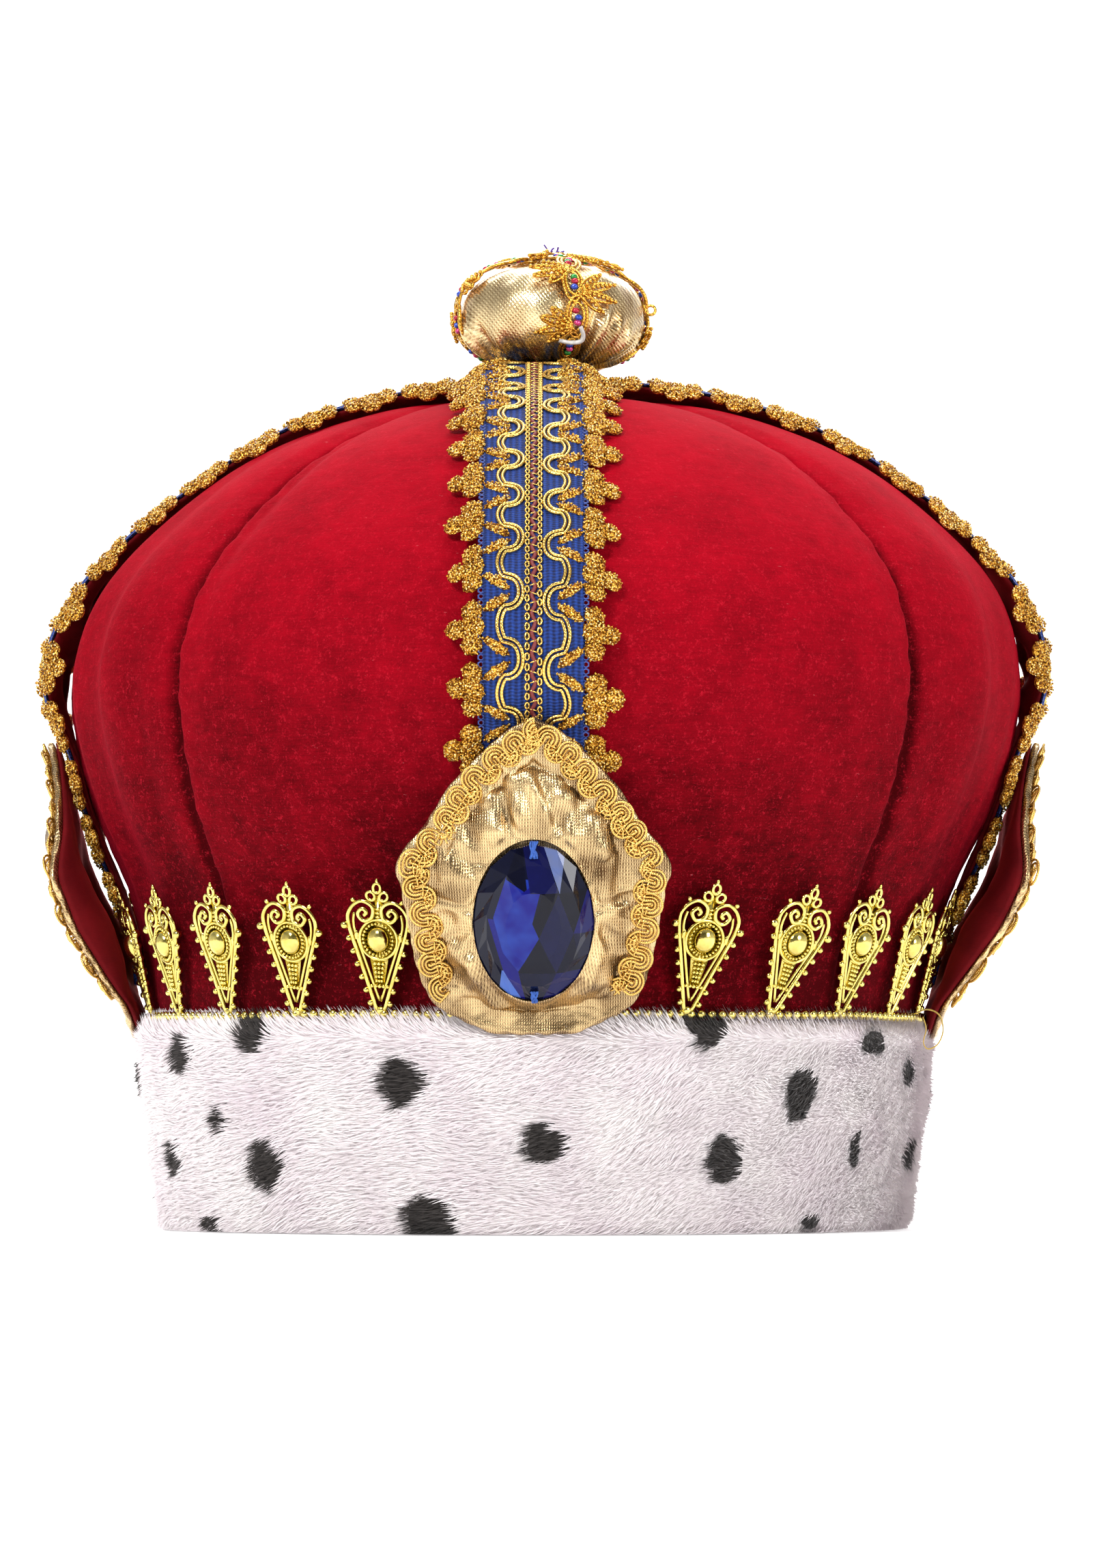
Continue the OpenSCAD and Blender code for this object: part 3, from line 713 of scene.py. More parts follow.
class Weave(NodeMaker):
    """One geometry tree with named inputs."""

    def __init__(self, tree: Tree, **inputs: str) -> None:
        """Starts the tree; each input's name comes with its type."""
        super().__init__(bpy.data.node_groups.new(tree.value, "GeometryNodeTree"))
        for name, kind in {"Geometry": "Geometry", **inputs, "Material": "Material"}.items():
            self.tree.interface.new_socket(name, in_out="INPUT", socket_type="NodeSocket" + kind)
        self.tree.interface.new_socket("Geometry", in_out="OUTPUT", socket_type="NodeSocketGeometry")
        self.given = self.node("NodeGroupInput").outputs
        self.out = self.node("NodeGroupOutput").inputs

    def shape(self, kind: str, settings: Optional[dict] = None, **inputs: object) -> Socket:
        """Adds a geometry node and gives its first output; inputs are named with _ for spaces."""
        named = {name.replace("_", " "): value for name, value in inputs.items()}
        return self.node("GeometryNode" + kind, settings, named).outputs[0]

    def mark(self, name: str) -> Socket:
        """A vector that the points carry."""
        return self.shape("InputNamedAttribute", {"data_type": "FLOAT_VECTOR"}, Name=name)

    def store(self, shape: Socket, name: str, value: object) -> Socket:
        """Keeps a number on the points as a mark."""
        return self.shape("StoreNamedAttribute", {"data_type": "FLOAT", "domain": "POINT"},
                          Geometry=shape, Name=name, Value=value)

    def repeat(self, unit_name: str, points: Socket, upward: Socket, forward: Socket, size: Socket) -> Socket:
        """Instances of a given object on points, with its Z upward and its X forward."""
        info = self.node("GeometryNodeObjectInfo", None, {"Object": self.given[unit_name]}).outputs
        turn = self.node("FunctionNodeAxesToRotation", {"primary_axis": "Z", "secondary_axis": "X"},
                         {"Primary Axis": upward, "Secondary Axis": forward}).outputs[0]
        return self.shape("InstanceOnPoints", Points=points, Instance=info["Geometry"], Rotation=turn,
                          Scale=size)

    def finish(self, shape: Socket) -> bpy.types.NodeTree:
        """Realizes the instances and sets the material."""
        real = self.shape("RealizeInstances", Geometry=shape)
        self.feed(self.out[0], self.shape("SetMaterial", Geometry=real, Material=self.given["Material"]))
        return self.tree


def evaluated(piece: Piece) -> bpy.types.Mesh:
    """A plain mesh of a piece as its modifiers leave it."""
    return bpy.data.meshes.new_from_object(piece.evaluated_get(bpy.context.evaluated_depsgraph_get()))


class Weaver:
    """Builds the geometry trees once and runs them."""

    def __init__(self) -> None:
        """Builds every tree."""
        self.trees = {Tree.UNITS: self.units(), Tree.CORD: self.cord(), Tree.FUR: self.fur()}

    @staticmethod
    def units() -> bpy.types.NodeTree:
        """A unit on each point, turned by the marks "forward" and "upward" and sized by "size"."""
        w = Weave(Tree.UNITS, Unit="Object")
        points = w.shape("MeshToPoints", Mesh=w.given["Geometry"])
        return w.finish(w.repeat("Unit", points, w.mark("upward"), w.mark("forward"), w.mark("size")))

    @staticmethod
    def cord() -> bpy.types.NodeTree:
        """A round cord along edges, with the marks "along" and "around" in millimetres and turns."""
        w = Weave(Tree.CORD, Radius="Float", Sides="Int")
        way = w.node("GeometryNodeSplineParameter").outputs
        line = w.shape("MeshToCurve", Mesh=w.given["Geometry"])
        line = w.store(line, "along", Value(w, way["Length"]) * (1 / MM))
        ring = w.shape("CurvePrimitiveCircle", Resolution=w.given["Sides"], Radius=w.given["Radius"])
        ring = w.store(ring, "around", way["Factor"])
        swept = w.shape("CurveToMesh", Curve=line, Profile_Curve=ring, Fill_Caps=True)
        return w.finish(w.shape("SetShadeSmooth", Geometry=swept))

    @staticmethod
    def fur() -> bpy.types.NodeTree:
        """Hairs all over a surface, combed along the mark "comb"."""
        w = Weave(Tree.FUR, Hair="Object", Density="Float", Seed="Int", Lift="Float", Spread="Float")
        given = w.given
        where = {"Mesh": given["Geometry"], "Density": given["Density"], "Seed": given["Seed"]}
        strewn = w.node("GeometryNodeDistributePointsOnFaces", {"distribute_method": "RANDOM"}, where).outputs
        stray = w.node("FunctionNodeRandomValue", {"data_type": "FLOAT_VECTOR"},
                       {0: (-1.0, -1.0, -1.0), 1: (1.0, 1.0, 1.0), "Seed": given["Seed"]}).outputs[0]
        way = w.mark("comb")
        for more, size in ((strewn["Normal"], given["Lift"]), (stray, given["Spread"])):
            way = w.vector("ADD", {0: way, 1: w.vector("SCALE", {0: more, 3: size})})
        long = w.node("FunctionNodeRandomValue", {"data_type": "FLOAT"}, {2: 0.6, 3: 1.25}).outputs[1]
        return w.finish(w.repeat("Hair", strewn["Points"], way, strewn["Normal"], long))

    def run(self, tree: Tree, form: Form, name: str, material: Material, **inputs: object) -> Piece:
        """Runs a tree on a form and keeps the plain mesh that comes out.

        Args:
            tree: The tree.
            form: What it works on.
            name: Name of the piece.
            material: Its material.
            inputs: The tree's other inputs, by name.

        Returns:
            The piece.
        """
        host = form.piece(name + "_path", material)
        modifier = host.modifiers.new("shape", "NODES")
        modifier.node_group = self.trees[tree]
        sockets = {item.name: item.identifier for item in modifier.node_group.interface.items_tree
                   if item.item_type == "SOCKET" and item.in_out == "INPUT"}
        for key, value in {**inputs, "Material": material}.items():
            modifier[sockets[key]] = value
        mesh = evaluated(host)
        bpy.data.objects.remove(host)
        mesh.name = name
        return show(name, mesh)

    def strew(self, unit_form: Form, points: Array, upward: Array, forward: Array, name: str,
              material: Material, size: Number = 1.0, shade: Number = 0.0) -> Piece:
        """Puts a unit on each of many points.

        Args:
            unit_form: The unit, in millimetres round the origin.
            points: Places.
            upward: The unit's Z at each place.
            forward: The unit's X at each place.
            name: Name of the piece.
            material: Its material.
            size: Its scale along its own axes.
            shade: A mark from 0 to 1 for each unit.

        Returns:
            The piece.
        """
        unit_piece = unit_form.piece(name + "_unit", material)
        upward, forward, size = (np.broadcast_to(v, points.shape) for v in (upward, forward, size))
        shade = np.broadcast_to(shade, len(points))
        marks = {"upward": upward, "forward": forward, "size": size, "shade": shade}
        made = self.run(Tree.UNITS, Form(points, marks=marks), name, material, Unit=unit_piece)
        bpy.data.objects.remove(unit_piece)
        return made

    def cords(self, paths: Sequence[Array], radius: float, name: str, material: Material,
              sides: int = 5) -> Piece:
        """Sweeps a round cord along each path, in millimetres."""
        starts = np.cumsum([0] + [len(p) for p in paths])
        edges = [(k, k + 1) for a, b in zip(starts, starts[1:]) for k in range(int(a), int(b) - 1)]
        form = Form(np.concatenate(paths), edges=edges)
        return self.run(Tree.CORD, form, name, material, Radius=radius * MM, Sides=sides)


def join(name: str, *pieces: Piece) -> Piece:
    """Joins pieces into the first one, under a new name."""
    with bpy.context.temp_override(active_object=pieces[0], selected_editable_objects=list(pieces)):
        bpy.ops.object.join()
    pieces[0].name = pieces[0].data.name = name
    return pieces[0]


def settle(piece: Piece, slot: str, *nodes: str) -> Piece:
    """Makes a piece ride on the crown, hides the nodes that it stands for and logs its triangles."""
    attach(piece, BODY)
    if nodes:
        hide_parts(*nodes)
    piece.data.calc_loop_triangles()
    log.info("%s: %d triangles", piece.name, len(piece.data.loop_triangles))
    return piece


def vectors(mesh: bpy.types.Mesh, key: str = "co") -> Array:
    """Places or normals of a mesh's points."""
    values = np.zeros(len(mesh.vertices) * 3)
    mesh.vertices.foreach_get(key, values)
    return values.reshape(-1, 3)


def reshape(piece: Piece, points: Array) -> Piece:
    """Moves a piece's points to places in metres."""
    piece.data.vertices.foreach_set("co", points.ravel())
    piece.data.update()
    return piece


def inflate(form: Form, held: Array, limit: float, pressure: float, slack: float) -> Form:
    """Swells a padded form with a cloth simulation.

    Args:
        form: The form, a little smaller than the pad.
        held: For each point, 1 where it is sewn down and 0 where it is free.
        limit: The most that a point may move.
        pressure: Pressure of the filling.
        slack: Share by which the cloth is larger than the form.

    Returns:
        The swollen form, with the same faces and marks.
    """
    frames = 20
    material = bpy.data.materials.new("pad_in_work")
    pad = form.piece("pad_in_work", material)
    pins = pad.vertex_groups.new(name="held")
    for weight in np.unique(held[held > 0]):
        pins.add(np.flatnonzero(held == weight).tolist(), float(weight), "REPLACE")
    cloth = pad.modifiers.new("cloth", "CLOTH")
    settings = {"quality": 6, "mass": 0.25, "bending_stiffness": 0.6, "use_pressure": True,
                "uniform_pressure_force": pressure, "vertex_group_mass": "held", "shrink_min": -slack}
    for name, value in settings.items():
        setattr(cloth.settings, name, value)
    cloth.settings.effector_weights.gravity = 0
    cloth.collision_settings.use_collision = False
    cloth.point_cache.frame_end = frames
    for step in range(1, frames + 1):
        bpy.context.scene.frame_set(step)
    move = vectors(pad.evaluated_get(bpy.context.evaluated_depsgraph_get()).data) / MM - form.points
    length = np.linalg.norm(move, axis=1, keepdims=True)
    bpy.context.scene.frame_set(1)
    bpy.data.objects.remove(pad)
    bpy.data.materials.remove(material)
    return Form(form.points + move * np.minimum(1, limit / np.maximum(length, 1e-6)), form.faces, form.marks)


def subdivide(piece: Piece) -> Piece:
    """Applies one level of smooth subdivision."""
    modifier = piece.modifiers.new("smooth", "SUBSURF")
    modifier.levels = modifier.render_levels = 1
    mesh = evaluated(piece)
    piece.modifiers.clear()
    piece.data = mesh
    return piece


def emboss(piece: Piece, height: Callable[[Array], Array]) -> Piece:
    """Moves each point along its normal, by a height in millimetres that its place gives."""
    points = vectors(piece.data) / MM
    return reshape(piece, (points + vectors(piece.data, "normal") * height(points)[:, None]) * MM)


def trim_below(piece: Piece, floor: float) -> Piece:
    """Lifts what hangs under a height, in millimetres, up to it."""
    return reshape(piece, np.maximum(vectors(piece.data), [-np.inf, -np.inf, floor * MM]))


@dataclass(frozen=True)
class Crown:
    """Sizes that several sub-assemblies share, as in the model's source."""

    band_h: float = 53.5
    seat_z: float = 53.8
    gap: float = 0.3
    strap_t: float = 2.9
    ball_shift: float = 4.6
    # Height above the band, shift to the right
    sway_rows: tuple = (
        (0, 0), (10, 0.1), (30, 1.4), (70, 2.4), (92, 2.8), (118, 4.2), (140, 4.6),
        (180, 4.6))
    # Underside of a strap: radius, height above the band
    strap_rows: tuple = (
        (102.4, 10.5), (104.9, 22.5), (109.4, 34.5), (114.5, 46.5), (118.8, 58.5), (121.2, 67.5),
        (123.8, 74.3), (127.3, 80.5), (129.4, 87.5), (129.4, 94.5), (128.0, 100.5), (125.0, 107.5),
        (119.2, 116.0), (112.0, 123.5), (102.6, 132.0), (91.0, 140.5), (78.5, 149.0), (65.5, 155.8),
        (52.0, 160.4), (38.0, 163.8), (24.0, 165.8), (12.0, 166.2), (0.0, 166.3))
    # Back of a shield: radius, height above the band
    shield_rows: tuple = (
        (103.2, -4.5), (103.3, 3.5), (105.4, 7.5), (108.9, 13), (112.4, 18.5), (115.9, 24), (118.6, 30.5),
        (120.8, 37), (121.8, 44), (122.4, 51), (124.0, 59), (126.2, 67), (128.8, 74.5))

    def sway(self, z: Array) -> Array:
        """Shift of the soft upper part to the right at a height."""
        return lookup(self.sway_rows, np.asarray(z) - self.band_h)

    def shield_back(self, z: Array, lean: int) -> Array:
        """Radius of a shield's back at a height; lean is 1 on the right and -1 on the left."""
        line = smooth_curve(self.shield_rows, 49)
        return lean * self.sway(z) + np.interp(z, self.band_h + line[:, 1], line[:, 0])

    @property
    def ball_z(self) -> float:
        """Foot of the ball."""
        return self.band_h + self.strap_rows[-1][1] + 2 * (self.strap_t + self.gap) + self.gap


@dataclass
class VelvetCap:
    """The puffed cap, sewn of panels that meet in narrow valleys."""

    crown: Crown
    radius: float = 122.6
    height: float = 162.0
    wall: float = 2.0
    puff: float = 3.4
    panel_columns: int = 54
    rows: int = 108
    lining_rows: int = 18
    seams: tuple = (0, 49.5, 90, 135, 180, 225, 270, 310.5, 360)
    # Share of the radius, share of the height
    line: tuple = (
        (0.809, 0.0), (0.835, 0.1), (0.88, 0.216), (0.95, 0.335), (0.995, 0.46), (0.999, 0.57),
        (0.945, 0.685), (0.82, 0.79), (0.64, 0.89), (0.4, 0.965), (0.16, 0.995), (0.0, 1.0))
    # Share of the run, share of the puff
    puff_rows: tuple = (
        (0, 0), (0.1, 0.15), (0.25, 0.3), (0.4, 0.85), (0.5, 1), (0.75, 0.95),
        (0.88, 0.6), (1, 0))
    # Angle, width in degrees, share of the run, half length as a share, height
    folds: tuple = (
        (-69, 4, 0.42, 0.3, -2.4), (-80, 4, 0.36, 0.25, -1.9), (-61, 4, 0.38, 0.24, 1.2),
        (-75, 3, 0.4, 0.22, 1.0), (70, 5, 0.36, 0.22, -1.9), (62, 5, 0.4, 0.22, 1.1),
        (78, 4, 0.28, 0.16, -1.3), (112, 5, 0.4, 0.26, -1.6), (-113, 5, 0.38, 0.26, -1.6),
        (158, 5, 0.34, 0.2, -1.2), (-27, 13, 0.165, 0.06, -2.6), (-29, 15, 0.25, 0.07, 1.7),
        (26, 12, 0.15, 0.06, -1.8), (152, 13, 0.18, 0.07, -1.4), (-150, 13, 0.2, 0.07, -1.2),
        (-49.5, 0.9, 0.45, 0.5, -2.2), (49.5, 0.9, 0.45, 0.5, -2.2), (135, 0.9, 0.5, 0.5, -2.2),
        (-135, 0.9, 0.5, 0.5, -2.2), (-45, 1.7, 0.66, 0.15, -1.0), (-47.4, 1.2, 0.5, 0.4, 0.5),
        (47.4, 1.2, 0.5, 0.4, 0.5), (-56, 2.2, 0.3, 0.16, -0.7), (55, 2.2, 0.32, 0.16, -0.8),
        (-73, 1.6, 0.4, 0.2, -0.7), (-84, 1.6, 0.42, 0.2, -0.7), (-64, 1.4, 0.44, 0.16, 0.5),
        (66, 1.5, 0.34, 0.16, -0.7), (75, 1.5, 0.34, 0.14, 0.6), (83, 1.4, 0.3, 0.14, -0.5),
        (-22, 9, 0.135, 0.025, -0.7), (-33, 10, 0.205, 0.028, 0.6), (31, 9, 0.19, 0.025, -0.6),
        (104, 1.7, 0.4, 0.2, -0.7), (120, 1.7, 0.44, 0.2, 0.6), (-105, 1.7, 0.42, 0.2, -0.6),
        (165, 1.8, 0.36, 0.18, -0.6), (-160, 1.8, 0.4, 0.2, -0.7), (-168, 9, 0.17, 0.03, -0.6))

    def swell(self, angle: Array, share: Array) -> Array:
        """How far the cloth stands off its seams' level."""
        seams = np.array(self.seams, float)
        i = np.clip(np.searchsorted(seams, angle, side="right"), 1, len(seams) - 1)
        start, end = seams[i - 1], seams[i]
        off = np.minimum(angle - start, end - angle)
        rise = mix(np.sin(np.pi * off / (end - start)), ease(off / 6), 0.45)
        total = self.puff * lookup(self.puff_rows, share) * rise
        fade = ease(share / 0.1)
        for turn, width, middle, half, height in self.folds:
            across = ((angle - turn + 540) % 360 - 180) / width
            along = (share - middle) / half
            total = total + fade * height * np.exp(-across**2 - along**2)
        drawn = np.sin(share * 150 + start * 0.3) * np.sin(share * 47 + end)
        return total + 0.45 * fade * drawn * np.exp(-(off / 3.6) ** 2) * ease(off / 1.2)

    def by_seam(self, angle: Array, share: float) -> Array:
        """How close a place lies to one of the seams, from 0 to 1, which sets the painted shade there."""
        off = np.abs((angle[:, None] - np.array(self.seams, float) + 180) % 360 - 180).min(1)
        return np.exp(-(off / 0.9) ** 2) * ease(share / 0.1)

    def turns(self) -> Array:
        """Angles of the columns, closer together near the seams."""
        t = np.arange(self.panel_columns) / self.panel_columns
        t = t - 0.11 * np.sin(ROUND * t)
        return np.concatenate([start + (end - start) * t for start, end in zip(self.seams, self.seams[1:])])

    @property
    def corners(self) -> Array:
        """Corners of the outline along a seam: radius, height."""
        return np.array(self.line) * [self.radius, self.height] + [0, self.crown.seat_z]

    def surface(self, angle: Array, share: Array, depth: float) -> Array:
        """Points of the cloth at a depth under its face."""
        before, at, after = (smooth_curve(self.corners, np.clip(share + d, 0, 1)) for d in (-1e-3, 0, 1e-3))
        way = unit(after - before)
        lift = self.swell(angle, share) - depth
        radius = np.maximum(at[..., 0], 0) + way[..., 1] * lift
        z = at[..., 1] - way[..., 0] * lift
        turn = np.radians(angle)
        return points_of(radius * np.sin(turn) + self.crown.sway(z), -radius * np.cos(turn), z)

    def build(self, finish: Material) -> None:
        """Makes the cap, closed, with its lining and its rim."""
        angle = self.turns()
        outer = np.arange(self.rows)[::-1] / self.rows
        inner = np.arange(self.lining_rows) / self.lining_rows
        shares = [*outer, *inner]
        depths = [0.0] * len(outer) + [self.wall] * len(inner)
        rings = [self.surface(angle, np.full_like(angle, k), depth) for k, depth in zip(shares, depths)]
        rings[len(outer)][:, 2] = self.crown.seat_z
        top = self.crown.seat_z + self.height
        shift = float(self.crown.sway(top))
        # The mark for the painted shade along the seams' valleys.
        seam = np.concatenate([*(self.by_seam(angle, k) for k in shares), [0.0, 0.0]])
        form = Form.rings(rings, Ends.POINTS, [[shift, 0, top], [shift, 0, top - self.wall]], seam=seam)
        settle(form.piece("velvet_puff", finish), "velvet", "velvet_cap")


@dataclass
class PlushBand:
    """The spotted plush band with its combed pile."""

    crown: Crown
    foot_r: float = 97.6
    top_r: float = 103.7
    wall: float = 6.4
    rounding: float = 4.5
    columns: int = 300
    # Points across the inner side, which has no pile
    inner_rows: int = 9
    hair_long: float = 4.0
    hair_wide: float = 0.27
    density: float = 3.3
    # Angle from the front, height, half width, half height
    spots: tuple = (
        (-43, 50, 5, 5), (-60, 45, 6, 5), (-84, 40, 8, 4), (-51, 29, 3.3, 4), (-67, 19, 4, 5),
        (-42, 18, 6, 7), (-18, 38, 6, 6), (-15, 3.5, 7, 6), (-57, 2.5, 4, 2.5), (2, 23, 5.5, 5),
        (25, 52, 5.5, 5), (29, 19, 4.7, 6.2), (42, 35, 5, 7), (57, 48, 6, 3), (55, 21, 2.2, 5),
        (70, 41, 4.2, 4), (76, 20, 7, 4), (46, 3, 3.5, 2.2), (95, 33, 6, 6), (101, 8, 5, 5),
        (112, 48, 6, 5), (121, 24, 6, 7), (136, 41, 5, 6), (143, 12, 6, 5), (157, 30, 6, 7),
        (166, 50, 5, 4), (172, 8, 6, 6), (-175, 36, 6, 6), (-163, 18, 5, 6), (-152, 46, 6, 5),
        (-146, 6, 6, 5), (-133, 28, 6, 7), (-122, 49, 5, 4), (-116, 13, 6, 6), (-102, 30, 6, 7),
        (-93, 8, 5, 5))

    def section(self) -> Array:
        """The closed outline of the band: radius, height."""
        foot = np.array([self.foot_r - self.rounding, self.rounding])
        top = np.array([self.top_r - self.rounding, self.crown.band_h - self.rounding])
        slope = math.atan2(top[0] - foot[0], top[1] - foot[1])
        low = np.radians(np.linspace(-90, 0, 8)) - slope * np.linspace(0, 1, 8)
        high = np.radians(np.linspace(0, 90, 8)) - slope * np.linspace(1, 0, 8)
        arcs = [middle + self.rounding * points_of(np.cos(a), np.sin(a))
                for middle, a in ((foot, low), (top, high))]
        side = mix(arcs[0][-1], arcs[1][0], np.linspace(0, 1, 24)[1:-1, None])
        inner_top = np.array([self.top_r - self.wall, self.crown.band_h])
        inner_foot = np.array([self.foot_r - self.wall, 0.0])
        inner = mix(inner_top, inner_foot, np.linspace(0, 1, self.inner_rows)[:, None])
        return np.concatenate([arcs[0], side, arcs[1], inner])

    def base(self) -> Form:
        """The backing, with its spots and the way that the pile is combed."""
        section = self.section()
        angle = np.arange(self.columns) * ROUND / self.columns
        flat = (section[:, :1, None] * outward(angle) + UPRIGHT * section[:, 1:, None]).reshape(-1, 3)
        pile = np.repeat(np.arange(len(section)) < len(section) - self.inner_rows, self.columns).astype(float)
        z, radius = flat[:, 2], np.linalg.norm(flat[:, :2], axis=1)
        lump = 0.45 * ripple(flat, 26, 3) + 0.3 * ripple(flat, 11, 4) - 0.25
        lump -= 0.6 * np.exp(-((z - 45) / 2.6) ** 2)
        sides = np.array([(0, -1), (1, 0), (0, 1), (-1, 0)])
        under_shield = ease((24 - np.abs(flat[:, :2] @ left(sides).T)) / 6) * (flat[:, :2] @ sides.T > 0)
        lump -= 1.1 * under_shield.sum(1) * ease((z - 48.6) / 2.0) * (radius > 101.5)
        flat = flat + unit(flat * [1, 1, 0]) * (lump * pile)[:, None]
        flat[:, 2] = np.maximum(flat[:, 2], 0)
        rise = 0.22 * ripple(flat, 34, 8) + 0.2 * ripple(flat, 12, 9) - 0.24 + 1.3 * ease((z - 47.5) / 4.0)
        comb = np.tile(outward(angle - math.pi / 2), (len(section), 1)) + rise[:, None] * UPRIGHT
        marks = {"spot": self.spotted(flat) * pile, "comb": comb, "pile": pile}
        return Form(flat, grid_faces(len(section), self.columns, Ends.RING), marks)

    def spotted(self, points: Array) -> Array:
        """How much each place lies in a dark spot, from 0 to 1."""
        turn = np.degrees(np.arctan2(points[:, 0], -points[:, 1]))
        radius = np.linalg.norm(points[:, :2], axis=1)
        total = np.zeros(len(points))
        edge = 0.1 * ripple(points, 6, 21) + 0.04 * ripple(points, 2.4, 22)
        for angle, z, wide, high in self.spots:
            across = np.radians((turn - angle + 540) % 360 - 180) * radius / wide
            far = np.hypot(across, (points[:, 2] - z) / high) + edge
            total = np.maximum(total, ease((1.16 - far) / 0.34))
        return total

    def hair(self) -> Form:
        """One hair along Z that bows towards +X, widest in its middle."""
        w, k = self.hair_wide / 2, self.hair_long
        points = np.array([[0, 0, -0.4], [0.4, -w, 0.45 * k], [0.4, w, 0.45 * k], [0.1, 0, k]])
        return Form(points, [[0, 2, 1], [1, 2, 3]])

    def build(self, weaver: Weaver, finish: Material) -> None:
        """Makes the backing and the pile in two halves."""
        base = self.base()
        backing = settle(base.piece("plush_backing", finish), "plush", "fur_band")
        hair = self.hair().piece("hair", finish)
        for name, sign, seed in (("plush_pile_front", -1, 5), ("plush_pile_back", 1, 6)):
            piled = [f for f in base.faces
                     if base.marks["pile"][f].min() > 0 and sign * base.points[f, 1].mean() > 0]
            half = weaver.run(Tree.FUR, Form(base.points, piled, base.marks), name, finish, Hair=hair,
                              Density=self.density / MM**2, Seed=seed, Lift=0.46, Spread=0.26)
            settle(trim_below(half, 0.1), "plush")
        bpy.data.objects.remove(hair)


@dataclass(frozen=True)
class Mound:
    """An oval mound of glitter stitches, with its place on a strap and its half sizes."""

    along: float
    across: float
    side: int
    long: float
    wide: float
    turn: float
    stitches: int
    height: float
    foot: float
    corners: int

    def at(self, x: Array, y: Array) -> tuple[Array, Array]:
        """Where a place of the mound lies: along and across the strap."""
        x, y = turned(x, y, self.turn)
        return self.along + x, self.side * (self.across + y)


